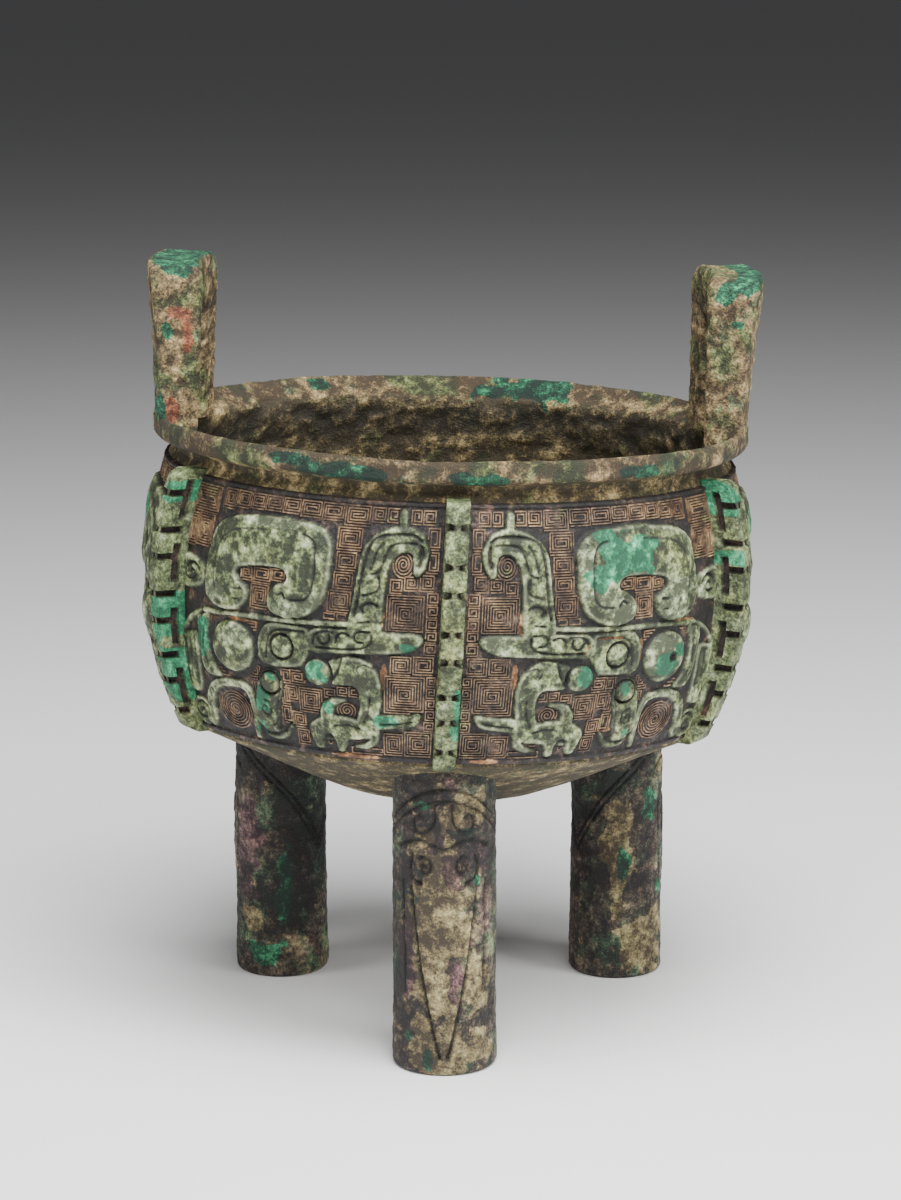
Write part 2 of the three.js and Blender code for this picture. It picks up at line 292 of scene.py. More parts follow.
BARS = [
    # the upright dragon: hooked body, crest, and its foot and trunk
    bar(1.35, (25.8, 144.2, 5.2), (25.2, 150, 4.9), (24.7, 156, 4.6), (24.2, 161, 4.5), (23, 166, 4.8),
        (18.6, 169.9, 4), (13.6, 170.3, 3.6), (10.6, 167.6, 2.7), (10.3, 163.8, 2.1), (11, 160.9, 1.2)),
    bar(1.3, (16, 173.5, 1.4), (16.3, 177.9, 1.3)),
    bar(1.4, (9.6, 140.9, 1.6), (12.5, 140, 2.8), (17, 139.4, 3.2), (24, 139.3, 3.6), (32, 138.9, 3.7),
        (40.4, 138.3, 3.8)),
    # the long thin brow
    bar(0.9, (31, 144.2, 0.75), (50, 143.2, 0.8), (66, 142.6, 0.8), (84, 141.6, 0.75)),
    bar(0.9, (86.5, 140.8, 0.8), (92, 137.6, 0.8), (96, 133, 0.8)),
    # the lower dragon: body, foot, mass of tail and claws
    bar(1.35, (34, 129.3, 4.1), (27.4, 129.6, 4.7), (23.9, 125.5, 3.9), (23.6, 118.5, 3.2),
        (25.3, 112.5, 3.2)),
    bar(1.2, (8.8, 116.9, 0.9), (11, 115.3, 1.9), (16, 114.7, 2.2), (22, 114, 2.4)),
    bar(1.3, (25, 111, 2.6), (31, 111.4, 3.8), (37, 111, 4), (40.8, 109.8, 3.3)),
    bar(1.3, (37.2, 112, 2.4), (37.4, 116.8, 2.1), (35.4, 119.6, 1.3), (31.6, 120.5, 0.6)),
    bar(1.2, (23, 111.4, 2.2), (22.4, 108.4, 1.5), (24.8, 106.2, 1), (28.4, 105.7, 0.6)),
    bar(1.25, (33, 109, 2.4), (33.4, 104.8, 1.5)),
    bar(1.25, (41, 110, 3), (40.8, 105.4, 1.7)),
    # the fang that turns up at its tip
    bar(1.5, (57, 122.9, 4.3), (58.4, 117, 4.5), (59.4, 111.5, 4.1), (58.6, 107.6, 2.7),
        (55.6, 106, 1.5), (52.6, 107, 1.1), (50.6, 109.6, 0.7)),
    # the jaw's arch
    bar(1.1, (64.7, 104.4, 1), (64.4, 112, 1.1), (64.9, 117, 1.2), (66.8, 119.6, 1.3), (71, 120.3, 1.3),
        (77, 119.6, 1.4), (82, 117.2, 1.7), (84.8, 112.5, 2), (85.8, 105.5, 2)),
    # the ear
    bar(1.0, (88, 152.3, 4), (93.4, 152.4, 5.3)),
]

PLATES = [  # height, dome, outline
    # the horn
    (1.7, 0.7, [(37.4, 157), (37.2, 165), (38.2, 169.4), (42, 172.4), (48, 173.4), (58, 173.9), (68, 173),
                (76, 171.4), (80.6, 168.4), (82.3, 163), (83.4, 155), (83.2, 149.5), (81, 145.6),
                (76, 143.5), (70.5, 143.9), (66.6, 145.9), (65, 149.2), (66.2, 152), (69, 153.6),
                (70.2, 155.4), (69, 157.2), (64, 158.3), (57, 158.8), (52.6, 158.2), (51.4, 156.4),
                (52, 154.8), (54.6, 153.9), (57, 151.6), (57.6, 148.4), (56.2, 145.6), (52.6, 144.2),
                (47, 144.6), (42.4, 146.6), (39.4, 150)]),
    # the cheek and the temple
    (1.0, 0.2, [(43.2, 141), (42.8, 135.5), (44.3, 131), (48, 129), (57, 128.5), (60.6, 130.2),
                (61, 136), (59.4, 140.2), (56, 142), (48, 142)]),
    (1.0, 0.2, [(81.8, 141), (87.3, 139.5), (87, 129), (85, 122), (80, 120.9), (77.4, 122.2),
                (81.6, 127), (82.6, 134)]),
    # the side of the face
    (0.8, 0.2, [(88.2, 134), (96.4, 132.6), (97, 124), (96.4, 114.6), (89, 115), (88, 124)]),
]

BOSSES = [  # centre u, centre z, half width, half height, height, ground ring round it
    (71.2, 132.3, 8.8, 8.1, 3.3, 1.2),  # the eye
    (40.2, 128.5, 4.3, 4.2, 2.3, 0.8),  # the lower dragon's eye
    (52.3, 135, 3.6, 3.5, 1.7, 0.7),
    (57, 123, 3.3, 3.3, 2.0, 0.6),
    (91.6, 107.6, 5.6, 4.7, 1.3, 0.0),
]
PUPIL = (72.8, 132.4, 1.6, 1.5)

CUTS = [
    # the upright dragon's flutes and the small hooks down its body
    cut(0.5, 0.8, (10.4, 170.4), (12.6, 171.8), (18, 171.9), (22.4, 171.2), (25.2, 169.3), (26.6, 165.2),
        (27.3, 161), (27.8, 156), (28.4, 151), (29.2, 147)),
    cut(0.42, 0.7, (11.6, 169.4), (16, 169.5), (19, 168.6), (20.6, 166), (21.6, 162.6), (22.8, 160.5),
        (24.6, 159.9)),
    cut(0.34, 0.6, (21.7, 169.3), (23.3, 167), (24.3, 163.6), (24.9, 161.3)),
    cut(0.6, 0.9, (10.2, 168.6), (9.9, 166), (10.6, 163)),
    cut(0.45, 0.7, (22.3, 159.2), (21.9, 156.6), (22.6, 155), (24.4, 154.1), (26.6, 153.4)),
    cut(0.5, 0.8, (22.2, 150.6), (24, 151.2), (26, 150.8), (27, 149.6), (26.5, 148.6)),
    cut(0.4, 0.6, (24.3, 145.7), (27.4, 145.2)),
    # scrolls on its trunk
    cut(0.4, 0.8, (24.2, 142.5), (27.2, 142.4), (28.6, 141.1), (28, 139.4), (25.8, 139.1)),
    cut(0.4, 0.8, (23.4, 141.6), (23.8, 139), (26, 137.5), (31, 136.7), (40.6, 136.4)),
    cut(0.42, 0.8, (30.3, 141.1), (32.4, 141.6), (34, 140.4), (34.3, 138.3)),
    cut(0.42, 0.8, (35.4, 141.4), (38.6, 141.4), (41, 140.3), (41.7, 137.6)),
    cut(0.42, 0.8, (36.6, 140.6), (36.4, 138.9), (37.6, 137.7), (39.4, 138), (39.9, 139.4)),
    # the horn's rim and its two curls
    cut(0.45, 0.6, (47, 169.8), (44.3, 168.9), (42.6, 166.4), (42.1, 160), (42.6, 153.5), (44.6, 150.6),
        (49, 149.9)),
    cut(0.3, 0.3, (60, 169.9), (70, 168.8), (75.6, 166.2), (78, 161.5), (78.8, 155), (78, 150)),
    cut(0.5, 0.8, (51.2, 150.2), (52.2, 151.5), (53.8, 150.9)),
    cut(0.5, 0.7, (67.8, 150.9), (69.9, 150.6)),
    cut(0.4, 0.6, (68.2, 147.7), (69.9, 147.6)),
    # the cheek's rim
    cut(0.45, 0.7, (45, 140.5), (53, 140.2), (56.5, 138.4), (57.6, 134.5), (58, 131)),
    # the lower dragon
    cut(0.4, 0.7, (32.4, 133.4), (33.6, 129.5), (35.6, 126)),
    cut(0.3, 0.4, (22.6, 131.4), (25.4, 132.3), (27.6, 131), (26.6, 128.8)),
    cut(0.35, 0.6, (10.6, 115.1), (15, 114.2), (20.4, 113.6)),
    cut(0.35, 0.5, (23.6, 122), (24.2, 117), (25.8, 113.6)),
    cut(0.5, 0.8, (35.4, 105.6), (36, 108), (37.8, 108.6), (39, 106.6)),
    cut(0.35, 0.5, (27, 111.8), (31, 112.6), (35, 112)),
    # the fang
    cut(0.4, 0.7, (53.4, 121.4), (54.8, 116), (55.8, 110.4), (57, 109.2)),
    cut(0.55, 0.8, (52.4, 108), (56, 106.5), (60, 106.5), (62.4, 108.4)),
    cut(0.35, 0.6, *curl(59.3, 114.3, 2.6, 2.8, 1.4, 90)),
    # the ear, the side of the face and the scroll at the jaw's corner
    cut(0.5, 0.8, *curl(91.4, 152.1, 4.4, 3.4, 1.5, 150, -1)),
    cut(0.4, 0.5, (89.8, 132), (90, 124), (91, 117.6)),
    cut(0.4, 0.5, (92.4, 131.4), (92.6, 124), (93.2, 117.6)),
    cut(0.35, 0.4, (95, 130.6), (95.2, 118)),
    cut(0.45, 0.8, *curl(91.4, 107.6, 4.4, 3.6, 1.5, 160, -1)),
    cut(0.35, 0.5, (84, 136), (85, 130), (83.4, 125)),
]

BORDERS = ((180.2, 181.4, 0.7), (101.4, 102.8, 0.7))  # low z, high z, height
FIGURE_BEVEL = 0.9


def figures_distance(u, z):
    """Signed distance to the nearest raised figure."""
    nearest = np.full(u.shape, 1e9)
    for run, _ in BARS:
        np.minimum(nearest, run_distance(u, z, run), out=nearest)
    for _, _, corners in PLATES:
        np.minimum(nearest, outline_distance(u, z, corners), out=nearest)
    for *spot, _, ring in BOSSES:
        np.minimum(nearest, (oval(u, z, *spot) - 1) * min(spot[2:]) - ring, out=nearest)
    return nearest


def edge_profile(depth_in):
    """0 outside a figure, rising over its rounded edge to 1."""
    t = np.clip((depth_in + 0.2) / FIGURE_BEVEL, 0, 1)
    return np.sqrt(1 - (1 - t) ** 2) * smoothstep(-0.25, 0.25, depth_in)


def carving(u, z):
    """Height of the relief; how far each point is on a raised figure and in an incised line; depth of the
    pupil; worn edges of figures and shaded ground beside them."""
    height, raised, incised = (np.zeros(u.shape) for _ in range(3))
    deepest = np.full(u.shape, -9.0)
    figures = [(run_distance(u, z, run), top, 0) for run, top in BARS]
    figures += [(outline_distance(u, z, corners), top, swell) for top, swell, corners in PLATES]
    for away, top, swell in figures:
        inside = -away
        deepest = np.maximum(deepest, inside)
        height = np.maximum(height, top * edge_profile(inside) + swell * smoothstep(0, 6, inside))
        raised = np.maximum(raised, smoothstep(-0.2, 0.3, inside))
    for *spot, top, ring in BOSSES:
        away = oval(u, z, *spot)
        inside = (1 - away) * min(spot[2:])
        deepest = np.maximum(deepest, inside)
        moat = smoothstep(-ring - 0.3, -ring + 0.1, inside) * smoothstep(0.3, -0.1, inside)
        if ring:
            height *= 1 - moat
            incised = np.maximum(incised, moat)
        dome = top * np.sqrt(np.clip(1 - away ** 2, 0, 1)) ** 0.9
        height = np.maximum(height, np.where(inside > 0, np.maximum(dome, 0.9 * edge_profile(inside)), 0))
        raised = np.maximum(raised * (1 - moat if ring else 1), smoothstep(-0.1, 0.3, inside))
    pupil_u, pupil_z, pupil_half, pupil_depth = PUPIL
    hole = smoothstep(pupil_half + 0.35, pupil_half - 0.35, np.hypot(u - pupil_u, z - pupil_z))
    for run, depth in CUTS:
        line = smoothstep(0.25, -0.3, run_distance(u, z, run))
        height = height - np.minimum(depth, height) * line
        incised = np.maximum(incised, line)
    for low, high, top in BORDERS:
        ridge = smoothstep(low - 0.4, low + 0.2, z) * smoothstep(high + 0.4, high - 0.2, z)
        height = np.maximum(height, top * ridge)
    edge = smoothstep(1.5, 0.5, deepest) * smoothstep(0.0, 0.5, deepest)
    shade = smoothstep(-1.3, -0.4, deepest) * (1 - raised)
    return height, raised, incised, hole * pupil_depth, edge, shade


# ---- The spiral ground ----

SPIRAL_PITCH = 0.82
LINE_TOP_HALF = 0.15
LINE_FOOT_HALF = 0.27
LINE_HEIGHT = 0.38
LINE_ROOT = 0.3
LINE_STEP = 0.3
LINE_CLEARANCE = 0.42

SPIRAL_CELLS = [  # low u, low z, high u, high z
    # along the top border
    (6.6, 175, 10.2, 179), (10.9, 175, 13.8, 179), (17.6, 175.2, 21.2, 179.2), (22, 175, 26, 179.2),
    (26.8, 173.6, 34.6, 179.4), (35.4, 174.6, 42.2, 179.4), (43, 174.8, 49.6, 179.4),
    (50.4, 175.2, 56.2, 179.4), (57, 175.2, 62.8, 179.4), (63.6, 175, 69, 179.4), (69.8, 174.6, 75, 179.4),
    (75.8, 173.6, 81, 179.4),
    # between the upright dragon and the horn
    (28.6, 166.4, 36.2, 172.8), (29.8, 160.4, 35.8, 165.6), (30.4, 154.8, 36.2, 159.6),
    (30.6, 147.6, 37.6, 154), (31.8, 145.4, 34.4, 147), (35.2, 145.4, 38.6, 147),
    # between the flange and the upright dragon
    (5, 167.8, 8.4, 174), (5, 161, 8.4, 167), (6, 155.6, 10, 160.2), (10.8, 155.6, 14.6, 159.6),
    (15.4, 154.6, 18.8, 158.6), (8.6, 142.6, 19.4, 154), (4.6, 151.6, 7.6, 155), (4.6, 147.8, 7.6, 151),
    (4.6, 144, 7.6, 147.2), (4.6, 140.2, 7.6, 143.4), (4.6, 136.4, 7.8, 139.6),
    # in the opening of the horn
    (52.6, 154.8, 57, 158.2), (57.6, 153.4, 64.4, 158.6), (64.8, 153.6, 68.8, 157.6),
    (58, 145.6, 64.4, 152.8),
    # the upper corner beside the side flange
    (83.4, 171, 96.4, 179), (84, 161, 91.4, 170.4), (92, 160.4, 96.6, 170),
    # under the upright dragon's foot
    (5, 130.2, 10.8, 135.6), (11.6, 129.8, 17.6, 135.4), (7.4, 117.6, 19.2, 129.2),
    (4.2, 126.6, 6.6, 129.4), (4.2, 123, 6.6, 125.8), (4.2, 119.4, 6.6, 122.2), (4.2, 115.8, 6.6, 118.6),
    (4.2, 112.2, 7, 115), (4.6, 103.6, 12.8, 111.6), (13.6, 103.6, 19.4, 110.6),
    (20, 103.4, 30, 105.2), (27, 121.8, 30.2, 124.8), (31, 121.8, 34, 124.4), (34.8, 120.8, 38.2, 123.4),
    # between the lower dragon and the fang
    (39.2, 115.2, 46.8, 122.8), (44.8, 123.6, 49.8, 128), (47.6, 118, 51.4, 122.8),
    (44.6, 104.2, 48.6, 109), (45.4, 109.8, 49.8, 114.6), (50.4, 110.6, 53.6, 116), (50.4, 116.8, 53, 122),
    (49.8, 123.6, 53, 127.8),
    # round the eye
    (61, 123, 65.4, 127.4), (61.6, 118.6, 64, 122.2), (74, 121.4, 79.6, 124.2), (62, 138.6, 66, 141.2),
    (76, 138.4, 80.8, 141),
]

ROUND_SPIRALS = [  # centre u, centre z, half width, half height, turns, hand
    (15.4, 163.2, 3.8, 4.6, 4.2, 1),
    (31, 117.2, 3.3, 3, 3.2, -1),
    (28, 108.4, 2.4, 1.8, 2, 1),
    (73.4, 111.6, 7.8, 6.6, 6.5, -1),
    (37.4, 106.4, 1.2, 1.6, 1.4, 1),
]


def squared_spiral(low_u, low_z, high_u, high_z):
    """One line that winds inwards at a right angle to itself."""
    path = [(low_u, low_z)]
    left, bottom, right, top = low_u, low_z, high_u, high_z
    while right - left > SPIRAL_PITCH * 0.6 and top - bottom > SPIRAL_PITCH * 0.6:
        path += [(right, bottom), (right, top), (left, top)]
        bottom += SPIRAL_PITCH
        path.append((left, bottom))
        left, right, top = left + SPIRAL_PITCH, right - SPIRAL_PITCH, top - SPIRAL_PITCH
        if top <= bottom or right <= left:
            break
        path.append((left, bottom))
    return np.array(path)


def line_runs(path):
    """The stretches of a line that lie clear of the figures, with its corners kept."""
    points, corner = [path[0]], [True]
    for a, b in zip(path, path[1:]):
        length = math.hypot(*(b - a))
        if length < 1e-6:
            continue
        count = max(1, round(length / LINE_STEP))
        for i in range(1, count + 1):
            points.append(a + (b - a) * i / count)
            corner.append(i == count)
    points, corner = np.array(points), np.array(corner)
    clear = figures_distance(points[:, 0], points[:, 1]) > LINE_CLEARANCE
    runs = []
    for is_clear, group in itertools.groupby(range(len(points)), key=lambda i: clear[i]):
        group = list(group)
        if not is_clear or len(group) < 4:
            continue
        kept = [i for n, i in enumerate(group) if corner[i] or n in (0, len(group) - 1) or n % 12 == 0]
        runs.append(points[kept])
    return runs


def ribbon_sections(run):
    """Left and right unit offsets at each point of a run, mitred at its corners."""
    along = np.diff(run, axis=0)
    along /= np.maximum(np.linalg.norm(along, axis=1, keepdims=True), 1e-9)
    before = np.vstack([along[:1], along])
    after = np.vstack([along, along[-1:]])
    normal_a = np.stack([-before[:, 1], before[:, 0]], axis=1)
    normal_b = np.stack([-after[:, 1], after[:, 0]], axis=1)
    share = 1 + np.sum(normal_a * normal_b, axis=1, keepdims=True)
    return (normal_a + normal_b) / np.maximum(share, 0.5)


def spiral_ground():
    """Points (u, z, height) and faces of all the ground's raised lines."""
    paths = [squared_spiral(*cell) for cell in SPIRAL_CELLS]
    paths += [np.array(curl(u, z, half_u, half_z, turns, 30, hand))
              for u, z, half_u, half_z, turns, hand in ROUND_SPIRALS]
    points, faces = [], []
    for run in itertools.chain.from_iterable(line_runs(path) for path in paths):
        aside = ribbon_sections(run)
        first = len(points)
        for (u, z), (au, az) in zip(run, aside):
            for side, half, height in ((1, LINE_FOOT_HALF, -LINE_ROOT), (1, LINE_TOP_HALF, LINE_HEIGHT),
                                       (-1, LINE_TOP_HALF, LINE_HEIGHT), (-1, LINE_FOOT_HALF, -LINE_ROOT)):
                points.append((u + side * half * au, z + side * half * az, height))
        for i in range(len(run) - 1):
            a = first + 4 * i
            faces += [(a + k, a + (k + 1) % 4, a + 4 + (k + 1) % 4, a + 4 + k) for k in range(4)]
        last = first + 4 * (len(run) - 1)
        faces.append((first + 3, first + 2, first + 1, first))
        faces.append((last, last + 1, last + 2, last + 3))
    return np.array(points), faces


def on_belly(u, z, height, side, turn):
    """A point of a half mask, wrapped round the leaning belly."""
    azimuth = (side * u + math.tan(MASK_SKEW) * (z - BELLY_Z)) / ARC_RADIUS + MASK_TURN + turn
    return leaned(around(wall_radius(z) + height, azimuth, z))


# ---- Finishes ----

def colour(red, green, blue):
    """A linear colour from everyday 0 to 255 values."""
    return tuple(((value / 255 + 0.055) / 1.055) ** 2.4 for value in (red, green, blue)) + (1.0,)


# Ranges of colour from the pits to the high spots.
TAN_CRUST = ((60, 48, 30), (122, 102, 68), (168, 144, 102), (196, 172, 128), (224, 206, 166))
OLIVE_CRUST = ((40, 44, 24), (84, 92, 52), (128, 134, 80), (160, 164, 108), (196, 198, 148))
GREEN_CRUST = ((8, 34, 24), (24, 84, 56), (54, 130, 88), (96, 168, 122), (160, 202, 160))
RUST_CRUST = ((84, 46, 30), (140, 84, 54), (176, 112, 76), (194, 138, 100), (212, 174, 140))
LINE_DARK = ((6, 6, 5), (18, 15, 12), (32, 26, 20), (46, 38, 30), (70, 60, 46))
# dark crust; also painted shade on the handles' inward faces and inside the bowl under the lip
DARK_CRUST_AND_SHADE = ((8, 8, 8), (26, 24, 20), (50, 44, 32), (84, 76, 54), (140, 124, 92))
DEEP_CRUST = ((58, 50, 32), (114, 100, 64), (166, 146, 100), (196, 174, 124), (222, 202, 156))
FIGURE_GREEN = ((34, 40, 22), (84, 96, 58), (128, 140, 96), (154, 166, 122), (188, 196, 156))
FIGURE_PALE = ((62, 70, 48), (112, 124, 90), (154, 164, 128), (188, 194, 160), (216, 220, 190))
WORN_EDGE = ((110, 118, 90), (146, 154, 122), (178, 184, 152), (200, 204, 174), (220, 222, 196))
FIGURE_MALACHITE = ((18, 78, 52), (38, 116, 78), (66, 148, 106), (102, 176, 134), (156, 206, 168))
EARTH_GROUND = ((12, 9, 7), (34, 24, 20), (60, 42, 34), (86, 62, 48), (116, 88, 68))
OLD_LINES = ((34, 26, 20), (70, 54, 40), (106, 84, 62), (138, 112, 82), (176, 150, 114))
LEG_DARK = ((16, 13, 11), (50, 42, 34), (82, 70, 54), (114, 100, 74), (162, 146, 108))
LEG_GREEN = ((14, 24, 18), (44, 62, 44), (78, 98, 66), (112, 126, 86), (160, 164, 120))
LEG_GRAIN = ((54, 44, 30), (108, 96, 64), (146, 134, 92), (172, 160, 114), (204, 194, 150))
PLUM = ((30, 16, 20), (64, 38, 44), (98, 64, 68), (134, 98, 96), (172, 142, 130))
OCHRE = ((84, 54, 30), (124, 84, 48), (154, 110, 66), (178, 136, 88), (200, 164, 116))


class Finish:
    """A material built from layers of patina, each laid over the last through a torn mask."""

    def __init__(self, name):
        self.material = bpy.data.materials.new(name)
        self.material.use_nodes = True
        self.tree = self.material.node_tree
        self.shader = self.tree.nodes["Principled BSDF"]
        self.place = self.tree.nodes.new("ShaderNodeTexCoord").outputs["Object"]
        self.colour = self.grain = self.normal = None

    def feed(self, value, socket):
        if isinstance(value, bpy.types.NodeSocket):
            self.tree.links.new(value, socket)
        else:
            socket.default_value = value

    def node(self, kind, inputs, **settings):
        """A node with its settings made, and a value or another node's output fed to each input."""
        node = self.tree.nodes.new("ShaderNode" + kind)
        for key, value in settings.items():
            setattr(node, key, value)
        for key, value in inputs.items():
            self.feed(value, node.inputs[key])
        return node

    def noise(self, size, detail=5.0, roughness=0.62, shift=0.0, flat=1.0, distortion=0.0):
        """Noise with lumps about size millimetres across, 0 to 1. Flat above 1 lays them in level streaks."""
        place = self.node("Mapping", {
            "Vector": self.place, "Location": (shift, shift * 0.7, shift * 1.3), "Scale": (1, 1, flat)})
        return self.node("TexNoise", {
            "Vector": place.outputs["Vector"], "Scale": 1 / (size * MM), "Detail": detail,
            "Roughness": roughness, "Distortion": distortion}).outputs["Fac"]

    def mark(self, name, amount=1):
        return self.thinned(self.node("Attribute", {}, attribute_name=name).outputs["Fac"], amount)

    def math(self, operation, a, b=0.0, c=0.0):
        return self.node("Math", {0: a, 1: b, 2: c}, operation=operation).outputs[0]

    def thinned(self, mask, amount):
        """A mask times an amount, which may be a mask too."""
        return mask if amount == 1 else self.math("MULTIPLY", mask, amount)

    def step(self, value, low, high):
        """0 below low, 1 above high, or the other way round."""
        return self.node("MapRange", {"Value": value, "From Min": low, "From Max": high},
                         interpolation_type="SMOOTHSTEP").outputs["Result"]

    def weighed(self, *parts):
        """A sum of noises about one half: (noise, weight) each."""
        total = 0.5
        for value, weight in parts:
            total = self.math("MULTIPLY_ADD", self.math("SUBTRACT", value, 0.5), weight, total)
        return total

    def torn(self, mask, size, ragged=1.5, shift=0.0):
        """A mask whose edge is broken up by noise."""
        return self.step(self.weighed((mask, 1.0), (self.noise(size, shift=shift), ragged)), 0.42, 0.58)

    def ramp(self, value, shades):
        node = self.node("ValToRGB", {"Fac": value})
        stops = node.color_ramp.elements
        while len(stops) < len(shades):
            stops.new(0.5)
        for stop, shade, position in zip(stops, shades, (0.06, 0.32, 0.52, 0.7, 0.94)):
            stop.position = position
            stop.color = colour(*shade)
        return node.outputs["Color"]

    def blend(self, mask, under, over):
        return self.node("Mix", {0: mask, 6: under, 7: over}, data_type="RGBA").outputs[2]

    def crusted(self, *sizes, mark=None, weight=0.0):
        """Sets the grain that colours and bump share: noises from coarse to fine, and the modelled height."""
        parts = [(self.noise(size, shift=0.17 * index), 1.15) for index, size in enumerate(sizes)]
        if mark:
            parts.append((self.mark(mark), weight))
        self.grain = self.weighed(*parts)
        return self

    def base(self, shades):
        self.colour = self.ramp(self.grain, shades)
        return self

    def lay(self, mask, shades):
        """Lays a range of colours over what is there."""
        self.colour = self.blend(mask, self.colour, self.ramp(self.grain, shades))
        return self

    def patches(self, size, low, high, shades, shift=0.0, amount=1.0, flat=1.0):
        """Scattered patches of another range of colours."""
        mask = self.step(self.noise(size, 7.0, 0.66, shift=shift, flat=flat, distortion=0.4), low, high)
        return self.lay(self.thinned(mask, amount), shades)

    def stained(self, mark, shades, size, shift=0.0, amount=1):
        """A range of colours laid where a mark is, up to an edge torn by noise of that size."""
        return self.lay(self.thinned(self.torn(self.mark(mark), size, shift=shift), amount), shades)

    def bumped(self, depth, fine, fine_depth):
        """The grain as a bump, with a finer tooth on it."""
        for height, distance in ((self.grain, depth), (self.noise(fine, 3.0, shift=0.9), fine_depth)):
            under = {} if self.normal is None else {"Normal": self.normal}
            bump = self.node("Bump", {"Distance": distance * MM, "Height": height, **under})
            self.normal = bump.outputs["Normal"]
        return self

    def done(self, low, high):
        """Smoother where the grain is high and worn, rougher in the pits."""
        shine = self.node("MapRange", {
            "Value": self.grain, "From Min": 0.25, "From Max": 0.75, "To Min": high, "To Max": low})
        for key, value in (("Roughness", shine.outputs["Result"]), ("Base Color", self.colour),
                           ("Normal", self.normal)):
            self.feed(value, self.shader.inputs[key])
        return self.material


def relief_finish():
    """The raised figures and their ground: green over the figures, red-brown earth between them."""
    finish = Finish("mask_patina").crusted(9, 2.4, 0.8, mark="worn", weight=0.6)
    finish.base(EARTH_GROUND).patches(16, 0.5, 0.6, DARK_CRUST_AND_SHADE, 0.2, 0.7)
    finish.lay(finish.mark("shade", 0.85), LINE_DARK)
    finish.stained("ochre", OCHRE, 1.6)
    ground = finish.colour
    finish.base(FIGURE_GREEN).patches(13, 0.5, 0.62, OLIVE_CRUST, 0.3, 0.8)
    finish.patches(5, 0.56, 0.64, FIGURE_PALE, 0.5, 0.7)
    finish.patches(3.4, 0.62, 0.7, DARK_CRUST_AND_SHADE, 0.7, 0.55)
    finish.lay(finish.mark("edge", 0.8), WORN_EDGE)
    finish.stained("pale", FIGURE_PALE, 3.5)
    finish.stained("malachite", FIGURE_MALACHITE, 2.6, 0.4)
    finish.colour = finish.blend(finish.mark("raised"), ground, finish.colour)
    finish.lay(finish.mark("incised"), LINE_DARK)
    finish.stained("ochre", OCHRE, 1.6, amount=finish.mark("incised"))
    return finish.bumped(0.3, 0.6, 0.12).done(0.3, 0.65)


def spiral_finish():
    """The fine raised lines, brown with patches of earth and olive crust."""
    finish = Finish("spiral_lines").crusted(14, 4, 1.2)
    finish.base(OLD_LINES).patches(12, 0.5, 0.62, EARTH_GROUND, 0.5, 0.75)
    finish.patches(6, 0.6, 0.68, OLIVE_CRUST, 0.3, 0.6)
    return finish.bumped(0.1, 0.5, 0.05).done(0.35, 0.6)


def sandy_crust(finish):
    """A rough crust of sand, olive and black."""
    finish.base(TAN_CRUST).patches(20, 0.46, 0.58, OLIVE_CRUST, 0.1)
    finish.patches(11, 0.58, 0.66, GREEN_CRUST, 0.5, 0.55).patches(4, 0.66, 0.74, DARK_CRUST_AND_SHADE, 0.7, 0.6)


def crust_finish():
    """The handles: the sandy crust with greener and redder places, and painted shade on their inward faces.
    """
    finish = Finish("rim_crust").crusted(6, 2.0, 0.7, mark="high", weight=0.5)
    sandy_crust(finish)
    finish.stained("rust", RUST_CRUST, 3)
    # painted shade: the dark mark darkens the sides of the handles that face the bowl
    finish.stained("dark", DARK_CRUST_AND_SHADE, 3, 0.3, 0.45)
    finish.stained("malachite", GREEN_CRUST, 2.4, 0.6)
    return finish.bumped(0.9, 0.6, 0.25).done(0.45, 0.8)


def leg_finish():
    """The legs: dark metal under olive, maroon and black with a sandy crust in places."""
    finish = Finish("leg_patina").crusted(7, 1.8, 0.7, mark="high", weight=0.5)
    finish.base(LEG_DARK).patches(22, 0.48, 0.6, LEG_GREEN, 0.1).patches(15, 0.54, 0.62, PLUM, 0.4, 0.6)
    finish.stained("pale", LEG_GRAIN, 4)
    finish.stained("plum", PLUM, 5, 0.2, 0.8)
    finish.patches(5, 0.6, 0.66, TAN_CRUST, 0.8, 0.8).patches(3, 0.64, 0.72, DARK_CRUST_AND_SHADE, 0.6, 0.6)
    finish.stained("malachite", GREEN_CRUST, 2.4, 0.7)
    finish.lay(finish.mark("incised"), LINE_DARK)
    return finish.bumped(0.7, 0.6, 0.2).done(0.35, 0.7)


def bowl_finish():
    """Neck, inside and underside are dark and crusted; the rim's own crust lies over them."""
    finish = Finish("bowl_patina").crusted(6, 2.0, 0.7, mark="high", weight=0.8)
    sandy_crust(finish)
    rim = finish.colour
    finish.base(DEEP_CRUST).patches(18, 0.62, 0.74, DARK_CRUST_AND_SHADE, 0.2, 0.5)
    finish.patches(12, 0.54, 0.62, OLIVE_CRUST, 0.6, 0.7)
    finish.patches(6, 0.6, 0.66, TAN_CRUST, 0.4, 0.8, flat=3.0)
    # painted shade: a darker band inside the bowl just under the lip
    finish.lay(finish.mark("dark", 0.5), DARK_CRUST_AND_SHADE)
    finish.colour = finish.blend(finish.torn(finish.mark("rim"), 2.5, ragged=0.8), finish.colour, rim)
    finish.stained("malachite", GREEN_CRUST, 3, 0.6)
    return finish.bumped(0.9, 0.6, 0.25).done(0.4, 0.8)


